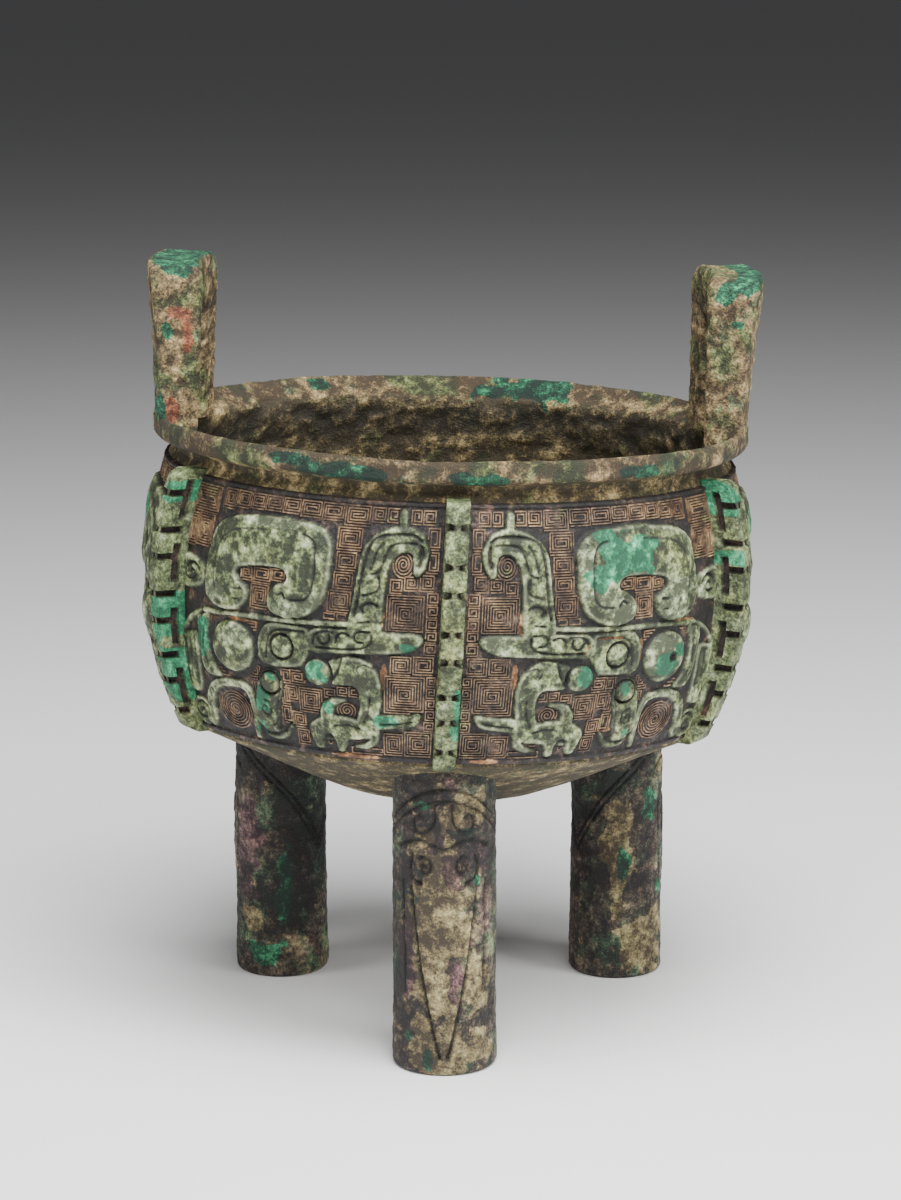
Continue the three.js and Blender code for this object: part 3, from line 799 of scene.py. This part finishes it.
def flange_finish():
    """The flanges: green like the figures, with red-brown earth in the notches."""
    finish = Finish("flange_patina").crusted(8, 2.2, 0.8, mark="high", weight=0.4)
    finish.base(FIGURE_GREEN).patches(14, 0.48, 0.6, OLIVE_CRUST, 0.3, 0.8)
    finish.patches(7, 0.52, 0.62, FIGURE_PALE, 0.5, 0.8)
    finish.lay(finish.mark("pale"), FIGURE_PALE)
    finish.stained("malachite", FIGURE_MALACHITE, 3, 0.6)
    finish.lay(finish.mark("incised"), EARTH_GROUND)
    return finish.bumped(0.5, 0.6, 0.2).done(0.35, 0.7)


# ---- The bowl ----

BAND_RECESS = 1.0
BOWL_SIDES = 300
BOTTOM_RADII = (1.5, 12, 25, 38, 50, 62, 74)


def bowl_profile():
    """Up the outside from the middle of the underside, over the rim and down the inside, in short steps."""
    mouth_radius, mouth_z = MOUTH
    band = [(wall_radius(z) - BAND_RECESS, z) for z in np.arange(BAND_BOTTOM_Z, BAND_TOP_Z, 4)]
    inside_band = [(wall_radius(z) - WALL, z) for z in np.arange(BAND_TOP_Z, BAND_BOTTOM_Z, -4)]
    rise = WALL / math.cos(math.atan(BOTTOM_SLOPE))
    underside = [(r, bottom_z(r)) for r in BOTTOM_RADII]
    corners = [*underside, (85.2, 98.6), (KNUCKLE[0] + 0.2, KNUCKLE[1] + 0.6), *band]
    corners += [(wall_radius(BAND_TOP_Z) - 0.4, BAND_TOP_Z), (89.6, 182.6), NECK, (89.2, 186.2)]
    corners += [(92.4, 187.4), (RIM_RADIUS - 0.9, 187.8), (RIM_RADIUS, 188.9), (RIM_RADIUS + 0.15, 191.2)]
    corners += [(RIM_RADIUS, 193.6), (RIM_RADIUS - 0.7, RIM_TOP_Z - 0.1), (RIM_RADIUS - 1.6, RIM_TOP_Z - 0.1)]
    corners += [(RIM_RADIUS - 5, 191.4), (mouth_radius + 0.7, mouth_z + 0.6)]
    corners += [(mouth_radius - 0.1, mouth_z - 0.8), (86.2, 184.4), *inside_band]
    corners += [(KNUCKLE[0] - WALL, KNUCKLE[1] + WALL / 2)]
    corners += [(r, z + rise) for r, z in underside[::-1]]
    path = np.array(corners)
    lengths = lengths_along(path)
    stations = np.unique(np.concatenate([lengths, np.arange(0, lengths[-1], 1.6)]))
    stations = stations[np.concatenate([[True], np.diff(stations) > 0.3])]
    return at_lengths(path, lengths, stations)


RIM_GREEN = (  # degrees round the bowl, height, half width in degrees, half height
    (-22, 190, 10, 3), (8, 189, 6, 3), (-30, 192, 5, 2), (160, 192, 9, 8),
    (172, 188, 6, 4), (-150, 192, 4, 3), (35, 190, 6, 2))


def bowl(material):
    """One shell of rings from the underside over the rim to the inside, with a crust that swells it."""
    profile = bowl_profile()
    crest = int(np.argmax(profile[:, 1] + profile[:, 0] * 0.05))
    azimuth = np.arange(BOWL_SIDES) * 2 * math.pi / BOWL_SIDES
    radius, height = profile[:, :1], profile[:, 1:]
    points = around(radius, azimuth[None, :], height)
    row = np.arange(len(profile))[:, None] + 0 * azimuth[None, :]
    on_rim = smoothstep(186.2, 187.6, height) * (1 - smoothstep(crest + 5, crest + 9, row))
    inside = (row > crest + 4).astype(float)
    rough = 0.3 * crust(points, 7, 3) + 0.3 * crust(points, 3.2, 5)
    amount = 0.6 + 0.5 * on_rim + 1.5 * inside
    behind_masks = (height > 100.8) & (height < 181.5) & (row < crest)
    swell = rough * np.where(behind_masks, 0, amount) * np.where(inside > 0, -1, 1)
    sag = 0.5 * lumps(points, 38, 9) * on_rim
    points = around(radius + swell, azimuth[None, :], height + sag + 0.6 * rough * on_rim)
    degrees = np.degrees((azimuth + math.pi) % (2 * math.pi) - math.pi)[None, :] + 0 * height
    green = blotch(degrees, height * np.ones_like(degrees), 4, *RIM_GREEN)
    # painted shade in a band on the inside just below the mouth
    shade_under_lip = inside * smoothstep(170, 178, height) * smoothstep(187, 184, height)
    marks = {"rim": on_rim, "high": rough, "dark": shade_under_lip,
             "malachite": green * np.maximum(on_rim, 0.4 * inside)}
    return rolled("bowl", leaned(points), material, marks, 50)


# ---- The six half masks ----

PATCHES = {  # half mask: malachite, pale and ochre places, each (centre u, centre z, half u, half z)
    ("front", 1): (
        [(55, 164, 11, 7), (46, 171.5, 3.5, 1.6), (44, 160, 4, 4), (40.4, 128.6, 4.6, 4.4),
         (69.6, 130.5, 4.6, 4.4), (76, 134.5, 2.6, 2.2), (56.5, 124, 2, 3), (59.5, 109, 2, 2)],
        [(39.5, 163, 2.6, 8), (47, 153, 8, 3), (70, 147, 9, 3.5), (74, 153, 6, 4), (71, 132.3, 10, 9),
         (12, 140, 5, 2.4), (52, 149, 5, 5), (88, 151, 3, 3)],
        [(19.4, 130, 1.2, 6), (41.4, 136.8, 1.4, 2), (50, 140, 5, 0.8), (61.2, 135, 0.9, 4),
         (17, 175, 1, 1.4), (20.6, 146, 1, 4), (13, 102.4, 7, 0.9), (52, 110.6, 3, 0.8),
         (74, 142.6, 7, 0.6)]),
    ("front", -1): (
        [(40.4, 128.6, 4.6, 4.4), (61, 118, 3.2, 6), (62, 108, 3, 4), (37.4, 117.6, 2.6, 2.6),
         (18, 114.6, 4, 1.8), (12.5, 138.6, 3, 1.6), (84, 133, 3, 6), (55, 126, 3, 1.6)],
        [(41, 150, 4, 4), (60, 172, 16, 1.6), (50, 147, 7, 3), (79, 148, 5, 4), (71, 137, 6, 3)],
        [(19.4, 128, 1, 5), (30, 102.4, 9, 0.8), (66, 141, 8, 0.7), (20.6, 148, 0.9, 5)]),
}
PLAINER = (
    [(40.4, 128.6, 4.4, 4.2), (62, 165, 7, 4), (30, 112, 4, 3)],
    [(71, 133, 7, 6), (48, 150, 7, 4)],
    [(19.4, 130, 1, 4)])


SHEET_LOW_Z = 100.6
SHEET_HIGH_Z = 181.9
FINE_SHEET = 0.4
COARSE_SHEET = 0.6
SLAB_BACK = -2.6
SLAB_RIM = 1.6


def half_mask(name, side, turn, seed, carved, material):
    """One half of a mask, a curved slab set into the belly, its back hidden in the bowl's wall."""
    u, z, (height, raised, incised, hole, edge, shade) = carved
    flat = np.stack([u, z], axis=-1)
    wear = 0.13 * crust(flat + 57 * seed, 3.2, seed) + 0.07 * crust(flat, 1.3, seed + 3)
    malachite, pale, ochre = PATCHES.get((name.split("_")[0], side), PLAINER)
    pupil = hole if name == "front_right_mask" else 0 * hole
    rolled_edge = smoothstep(100.7, 101.3, z) * smoothstep(181.8, 181.2, z)
    front = on_belly(u, z, (height + wear - pupil) * rolled_edge - SLAB_RIM * (1 - rolled_edge), side, turn)
    back_z = np.linspace(z[0, -1], z[0, 0], 7)[None, :]
    back = on_belly(u[:, :1], back_z + 0 * u[:, :1], SLAB_BACK, side, turn)
    rings = np.concatenate([front, back], axis=1)
    green_mask = blotch(u, z, seed, *malachite)
    marks = {
        "raised": raised,
        "edge": edge * smoothstep(-0.7, 0.1, crust(flat, 7, seed + 31)),
        "shade": shade,
        "worn": wear * 4,
        "incised": np.maximum(incised, pupil > 0.3),
        "malachite": green_mask * raised,
        "pale": blotch(u, z, seed + 11, *pale) * raised * (1 - green_mask),
        "ochre": blotch(u, z, seed + 23, *ochre) * np.maximum(1 - raised, incised),
    }
    tail = np.zeros((len(u), back_z.shape[1]))
    marks = {key: np.concatenate([values, tail], axis=1) for key, values in marks.items()}
    return rolled(name, rings, material, marks, 60)


def carved_sheet(spacing):
    """The carving of half a mask on a flat grid, which all the masks share."""
    width = ARC_RADIUS * HALF_MASK
    columns = np.linspace(0, width, int(width / spacing) + 1)
    rows = np.linspace(SHEET_LOW_Z, SHEET_HIGH_Z, int((SHEET_HIGH_Z - SHEET_LOW_Z) / spacing) + 1)
    u, z = np.meshgrid(columns, rows, indexing="ij")
    return u, z, carving(u, z)


def spiral_lines(name, side, turn, ground, material):
    """The raised lines of the ground between the figures, laid on the belly as one mesh."""
    points, faces = ground
    placed = on_belly(points[:, 0], points[:, 1], points[:, 2], side, turn) * MM
    if side < 0:
        faces = [face[::-1] for face in faces]
    mesh = bpy.data.meshes.new(name)
    mesh.from_pydata(placed.tolist(), [], faces)
    piece = bpy.data.objects.new(name, mesh)
    bpy.context.scene.collection.objects.link(piece)
    return finished(piece, material)


def masks():
    relief, lines = relief_finish(), spiral_finish()
    fine, coarse = carved_sheet(FINE_SHEET), carved_sheet(COARSE_SHEET)
    ground = spiral_ground()
    for index, where in enumerate(("front", "back_right", "back_left")):
        for side, hand in ((1, "right"), (-1, "left")):
            turn = index * 2 * math.pi / MASK_COUNT
            name = f"{where}_{hand}"
            half_mask(f"{name}_mask", side, turn, 5 + 7 * index + side, coarse if index else fine, relief)
            spiral_lines(f"{name}_spirals", side, turn, ground, lines)


# ---- The flanges ----

def flange(name, turn, material, green=()):
    """A plate notched from both faces: hook slots and straight slots by turns, up to its crest."""
    between = np.arange(FLANGE_BOTTOM_Z + 0.4, FLANGE_TOP_Z, 0.42)
    z = np.concatenate([[FLANGE_BOTTOM_Z], between, [FLANGE_TOP_Z]])
    out = np.linspace(0, 1, 26)
    across = np.linspace(1, -1, 15)[1:-1]
    reach = np.concatenate([out, np.ones(len(across)), out[::-1]])
    lateral = np.concatenate([np.ones(len(out)), across, -np.ones(len(out))])
    z_grid, reach_grid = np.meshgrid(z, reach, indexing="ij")
    lateral_grid = np.broadcast_to(lateral, z_grid.shape)
    wall, crest = wall_radius(z_grid), crest_radius(z_grid)
    ends = np.minimum(z_grid - FLANGE_BOTTOM_Z, FLANGE_TOP_Z - z_grid)
    crest = crest - 2.4 * np.clip(1 - ends / 2.4, 0, 1) ** 2
    root = wall - 1.4
    radius = root + (crest - root) * reach_grid
    beyond = radius - wall
    slot = np.zeros(z_grid.shape)
    for middle, floor in [(z, 2.8) for z in STRAIGHT_SLOTS_Z] + [(z, 2.0) for z in HOOK_SLOTS_Z]:
        level = smoothstep(SLOT_HALF + 0.25, SLOT_HALF - 0.25, np.abs(z_grid - middle))
        slot = np.maximum(slot, level * smoothstep(floor, floor + 0.5, beyond))
    for middle in HOOK_SLOTS_Z:
        upright = smoothstep(-8.3, -7.7, z_grid - middle) * smoothstep(4.1, 3.5, z_grid - middle)
        upright *= smoothstep(2.0, 2.5, beyond) * smoothstep(4.9, 4.4, beyond)
        slot = np.maximum(slot, upright)
    half = FLANGE_HALF - (FLANGE_HALF - FLANGE_WEB_HALF) * slot
    crest_row = (reach_grid > 0.999)
    from_web = np.abs(lateral_grid) * FLANGE_HALF
    cut_here = slot * smoothstep(FLANGE_WEB_HALF - 0.1, FLANGE_WEB_HALF + 0.5, from_web)
    edge_round = np.where(crest_row, 0.7 * np.abs(lateral_grid) ** 6, 0)
    radius = radius - edge_round - np.where(crest_row, 0.5 * slot, 0)
    sideways = lateral_grid * half
    local = np.stack([radius, sideways, z_grid], axis=-1)
    wear = 0.16 * crust(local + 40 * turn, 2.6, 21)
    radius = radius + wear * (reach_grid > 0.1)
    sideways = sideways + 0.5 * wear * np.sign(lateral_grid) * (slot < 0.5)
    skew = math.tan(MASK_SKEW) * (z_grid - BELLY_Z)
    azimuth = MASK_TURN + turn
    x, y, height = np.moveaxis(around(radius, azimuth, z_grid), -1, 0)
    x = x + (sideways + skew) * math.cos(azimuth)
    y = y + (sideways + skew) * math.sin(azimuth)
    spots = blotch(lateral_grid * 4, z_grid, 31, *green) if green else np.zeros(z_grid.shape)
    marks = {"high": wear * 2, "pale": smoothstep(0.3, 0.1, reach_grid) * (1 - slot) * 0.7,
             "incised": np.maximum(cut_here, slot * (~crest_row)), "malachite": spots * (1 - slot)}
    return rolled(name, leaned(np.stack([x, y, height], axis=-1)), material, marks, 45)


def flanges():
    """Six plates, one on the middle of each mask and one between each two."""
    material = flange_finish()
    names = ("front", "front_right", "back_right", "back", "back_left", "front_left")
    green = {
        "front": [(3, 122, 2, 5), (3, 114, 2, 4)],
        "front_left": [(3, 138, 5, 7), (3, 118, 5, 9), (3, 176, 4, 4)],
        "front_right": [(-3, 178, 4, 4), (-3, 160, 3, 5)],
        "back": [(2, 140, 4, 6)],
    }
    for index, where in enumerate(names):
        flange(f"{where}_flange", index * math.pi / MASK_COUNT, material, green.get(where, ()))


# ---- The handles ----

def handle_curves(count):
    """Matching points of a handle's outer and inner outlines, as distance across and height."""
    half, shoulder = HANDLE_WIDTH / 2, HANDLE_TOP_Z - HANDLE_CORNER
    opening = half - HANDLE_LEG
    spring = HANDLE_TOP_Z - HANDLE_BAR - HANDLE_ARCH
    foot = HANDLE_FOOT[0]
    outer, inner = [], []
    for t in np.linspace(0, 1, count):
        outer.append((-half, foot + (shoulder - foot) * t))
        inner.append((-opening, foot + (spring - foot) * t))
    for t in np.linspace(0, 1, 14)[1:]:
        a = math.pi - t * math.pi / 2
        across = -half + HANDLE_CORNER + HANDLE_CORNER * math.cos(a)
        outer.append((across, shoulder + HANDLE_CORNER * math.sin(a)))
        b = math.pi - t * math.radians(42)
        inner.append((opening * math.cos(b), spring + HANDLE_ARCH * math.sin(b)))
    for t in np.linspace(0, 1, count // 2)[1:]:
        outer.append(((-half + HANDLE_CORNER) * (1 - t), HANDLE_TOP_Z))
        b = math.radians(138) - t * math.radians(48)
        inner.append((opening * math.cos(b), spring + HANDLE_ARCH * math.sin(b)))
    outer, inner = np.array(outer), np.array(inner)
    mirror = np.array([-1, 1])
    return [np.vstack([half, half[-2::-1] * mirror]) for half in (outer, inner)]


def rounded_section(per_side, round_by):
    """Points round a unit square with rounded corners: (from the inner outline, from the inner face)."""
    ring = []
    far = 1 - round_by
    for centre_a, centre_b, start in ((round_by, round_by, 180), (far, round_by, 270), (far, far, 0),
                                      (round_by, far, 90)):
        for t in np.linspace(0, 1, 5):
            angle = math.radians(start + 90 * t)
            ring.append((centre_a + round_by * math.cos(angle), centre_b + round_by * math.sin(angle)))
    path = np.array(ring + ring[:1])
    lengths = lengths_along(path)
    return at_lengths(path, lengths, np.linspace(0, lengths[-1], 4 * per_side, endpoint=False))


def handle(name, azimuth, material, spots):
    """A square-edged loop that follows the rim's curve and grows thicker towards its top."""
    outer, inner = handle_curves(46)
    section = rounded_section(18, 0.17)
    share, depth = section[:, 0][None, :], section[:, 1][None, :]
    across = inner[:, :1] + (outer[:, :1] - inner[:, :1]) * share
    height = inner[:, 1:] + (outer[:, 1:] - inner[:, 1:]) * share
    up = np.clip((height - HANDLE_FOOT[0]) / (HANDLE_HEAD[0] - HANDLE_FOOT[0]), 0, 1)
    inner_radius, outer_radius = (
        foot + (head - foot) * up ** 1.6 for foot, head in zip(HANDLE_FOOT[1:], HANDLE_HEAD[1:]))
    radius = inner_radius + (outer_radius - inner_radius) * depth
    dish = 0.9 * smoothstep(0.86, 1.0, share) * smoothstep(0.5, 0.28, np.abs(depth - 0.5))
    height = height - dish * smoothstep(0.9, 1.0, up)
    middle = (HANDLE_FOOT[1] + HANDLE_FOOT[2]) / 2
    points = around(radius, across / middle, height)
    rough = 0.34 * crust(points, 3.4, 41) + 0.2 * crust(points, 1.5, 45)
    radius = radius + rough * (depth - 0.5) * 2
    across = across + rough * (np.sign(across) * (share - 0.5)) * 2
    height = height + rough * (share - 0.5) * 1.6 * smoothstep(0.75, 1, up)
    points = around(radius, across / middle + azimuth, height)
    malachite, rust, dark = spots
    through = depth * 18 + 0 * height
    near_post = across * math.sin(azimuth) < 0
    marks = {
        "high": rough,
        "malachite": blotch(through, height, 51, *malachite),
        "rust": blotch(through, height, 57, *rust) * near_post * 0.8,
        # painted shade: a dark strip down the side of the loop that faces the bowl
        "dark": blotch(through, height, 61, *dark) * (share < 0.8) * 0.8,
    }
    return rolled(name, leaned(points), material, marks, 60)


def handles():
    material = crust_finish()
    spots = {
        # each handle: malachite places, rust places, and a strip of painted shade on the side facing the bowl
        "right_handle": ([(15, 242, 5, 5), (8, 238, 4, 3), (12, 229, 3, 2)], [], [(3, 215, 4, 26)]),
        "left_handle": ([(9, 244.5, 11, 4.5), (17.4, 195, 2, 12), (14, 222, 2, 3)],
                        [(8, 228, 6, 3), (6, 220, 3, 6), (12, 196, 4, 4)], [(3, 222, 3, 16)]),
    }
    for name, azimuth in HANDLE_AZIMUTHS.items():
        handle(name, azimuth, material, spots[name])


# ---- The legs ----

def leg_mask(around_mm, z):
    """The animal face at the top of a leg, and the long blade below it, as depth of line."""
    u = np.abs(around_mm)
    lines = np.zeros(u.shape)
    top = 88.5 - 0.018 * u ** 2
    for level in (top, top - 3.4):
        lines = np.maximum(lines, smoothstep(0.75, 0.25, np.abs(z - level)))
    drawn = [
        cut(0.55, 1, (2.6, 84), (2.8, 80), (4.2, 77.6), (7, 76.4), (9.4, 77.4), (10, 80),
            (8.4, 81.6), (6.8, 80.6)),
        cut(0.55, 1, (0, 71.6), (4, 73), (8, 74.4), (12.6, 73.6), (16, 72.4)),
        cut(0.5, 1, (10.6, 70), (11.4, 66), (10, 62.4), (7.4, 61.4)),
        cut(0.5, 1, *curl(6.2, 66.4, 2.8, 3.2, 1.3, 60)),
        cut(0.5, 1, (10.8, 60), (9.6, 50), (7.6, 36), (5, 22), (2.6, 11), (1.2, 6)),
        cut(0.35, 1, (14.6, 62), (14.2, 44), (13.6, 26)),
    ]
    for run, _ in drawn:
        lines = np.maximum(lines, smoothstep(0.3, -0.25, run_distance(u, z, run)))
    blade_edge = np.interp(z, [4, 11, 36, 60, 63], [0, 2.6, 7.6, 10.8, 0])
    blade = smoothstep(0.3, -0.6, u - blade_edge) * smoothstep(63, 61, z)
    return lines, blade


def leg(name, foot, radius, azimuth, sides, material, spots):
    """A round leg from its flat foot up into the bowl's underside."""
    z = np.concatenate([[0, 0, 0.25, 0.7, FOOT_ROUND], np.arange(FOOT_ROUND + 0.6, LEG_TOP_Z, 0.65)])
    bevel = np.array([-radius, -FOOT_ROUND, -0.7, -0.22] + [0.0] * (len(z) - 4))
    angle = np.arange(sides) * 2 * math.pi / sides - math.pi
    ring_radius = np.maximum(radius + bevel, 0.4)[:, None] + 0 * angle
    z_grid = z[:, None] + 0 * angle
    across = angle[None, :] * radius + 0 * z_grid
    lines, blade = leg_mask(across, z_grid)
    x, y, _ = np.moveaxis(around(ring_radius, angle[None, :] + azimuth, z_grid), -1, 0)
    under_bowl = bottom_z(np.hypot(x + foot[0] - BOWL_AXIS_X, y + foot[1])) + 1.6
    z_grid = z_grid * (1 + (under_bowl / LEG_TOP_Z - 1) * smoothstep(60, LEG_TOP_Z, z_grid))
    points = around(ring_radius, angle[None, :], z_grid)
    upper = smoothstep(0.6, 2.2, z_grid)
    rough = 0.22 * crust(points + 50 * azimuth, 3, 71) + 0.3 * lumps(points + 9 * azimuth, 16, 75)
    swell = 0.35 * smoothstep(20, 4, z_grid)
    ring_radius = ring_radius + upper * (rough + swell * 0.6 + 0.45 * blade - 0.75 * lines)
    x, y, height = np.moveaxis(around(ring_radius, angle[None, :] + azimuth, z_grid), -1, 0)
    placed = np.stack([x + foot[0], y + foot[1], height], axis=-1)
    malachite, pale, plum = spots
    marks = {
        "high": rough * 2,
        "incised": lines * 0.9,
        "malachite": blotch(across, z_grid, 81, *malachite),
        "pale": blotch(across, z_grid, 85, *pale) * 0.9,
        "plum": blotch(across, z_grid, 89, *plum) * 0.7,
    }
    return rolled(name, placed, material, marks, 50)


def legs():
    material = leg_finish()
    spots = {
        "front_leg": ([(11, 62, 1.2, 2), (8, 78, 2, 1), (-6, 86, 3, 1.4), (-12, 12, 2, 2), (-5, 6, 2, 4)],
                      [(-2, 50, 11, 34), (6, 84, 11, 6), (0, 8, 16, 9), (10, 30, 5, 12)],
                      [(2, 66, 4, 7), (-13, 40, 3, 20), (4, 30, 3, 8)]),
        "right_leg": ([(-20, 60, 3, 5), (-30, 40, 3, 6), (-14, 30, 3, 3)],
                      [(-20, 12, 12, 10), (-32, 46, 5, 20), (-12, 74, 5, 8)], []),
        "left_leg": ([(34, 30, 3, 14), (26, 8, 5, 4)], [(22, 20, 4, 5), (30, 88, 10, 4)], [(20, 44, 6, 18)]),
    }
    for (name, places), foot, radius, sides in zip(spots.items(), feet, LEG_RADII, LEG_SIDES):
        azimuth = math.atan2(foot[0] - LEGS_X, -foot[1])
        leg(name, foot, radius, azimuth, sides, material, places)


# ---- Floor, light and camera ----

def stage():
    """The pale floor."""
    deselect()
    bpy.ops.mesh.primitive_plane_add(size=24, location=(0, 6, 0))
    floor = bpy.context.object
    floor.name = "floor"
    paper = bpy.data.materials.new("pale_paper")
    paper.use_nodes = True
    shader = paper.node_tree.nodes["Principled BSDF"]
    shader.inputs["Base Color"].default_value = (0.86, 0.86, 0.86, 1)
    shader.inputs["Roughness"].default_value = 0.9
    floor.data.materials.append(paper)


def lamp(name, location, aim, size, power):
    """A round soft light of one size and power, turned towards a point."""
    bpy.ops.object.light_add(type="AREA", location=location)
    light = bpy.context.object
    light.name = name
    light.data.shape = "DISK"
    light.data.size = size
    light.data.energy = power
    toward = np.array(aim) - np.array(location)
    tilt = math.acos(-toward[2] / np.linalg.norm(toward))
    light.rotation_euler = (tilt, 0, math.atan2(-toward[0], toward[1]))


def lights():
    """Five soft lamps in a dim grey room. Places and sizes are metres, power is watts."""
    lamp("overhead", (0.05, -0.25, 1.1), (0, 0, 0.14), 0.7, 17)
    lamp("left_window", (-1.1, -0.5, 0.75), (0, 0, 0.12), 0.6, 6)
    lamp("right_window", (1.0, -0.6, 0.7), (0, 0, 0.12), 0.6, 10)
    lamp("front_fill", (0.1, -1.5, 0.5), (0, 0, 0.12), 0.8, 5)
    lamp("foreground", (0.15, -0.62, 0.85), (0.1, -0.55, 0), 0.7, 14)
    world = bpy.data.worlds.new("room")
    world.use_nodes = True
    background = world.node_tree.nodes["Background"].inputs
    background["Color"].default_value = (0.16, 0.16, 0.165, 1)
    background["Strength"].default_value = 0.36
    bpy.context.scene.world = world


CAMERA_DISTANCE = 1.07975
CAMERA_HEIGHT = 0.352
CAMERA_DOWN = math.radians(11.423)
LENS_MM = 101.8
LENS_SHIFT = 0.0029


def camera():
    """In front of the legs, level from side to side and tilted down a little."""
    place = (LEGS_X * MM, -CAMERA_DISTANCE, CAMERA_HEIGHT)
    bpy.ops.object.camera_add(location=place, rotation=(math.pi / 2 - CAMERA_DOWN, 0, 0))
    view = bpy.context.object
    view.name = "front_view"
    view.data.sensor_width = 36
    view.data.lens = LENS_MM
    view.data.shift_x = LENS_SHIFT
    bpy.context.scene.camera = view


camera()
bowl(bowl_finish())
masks()
flanges()
handles()
legs()
stage()
lights()
deselect()
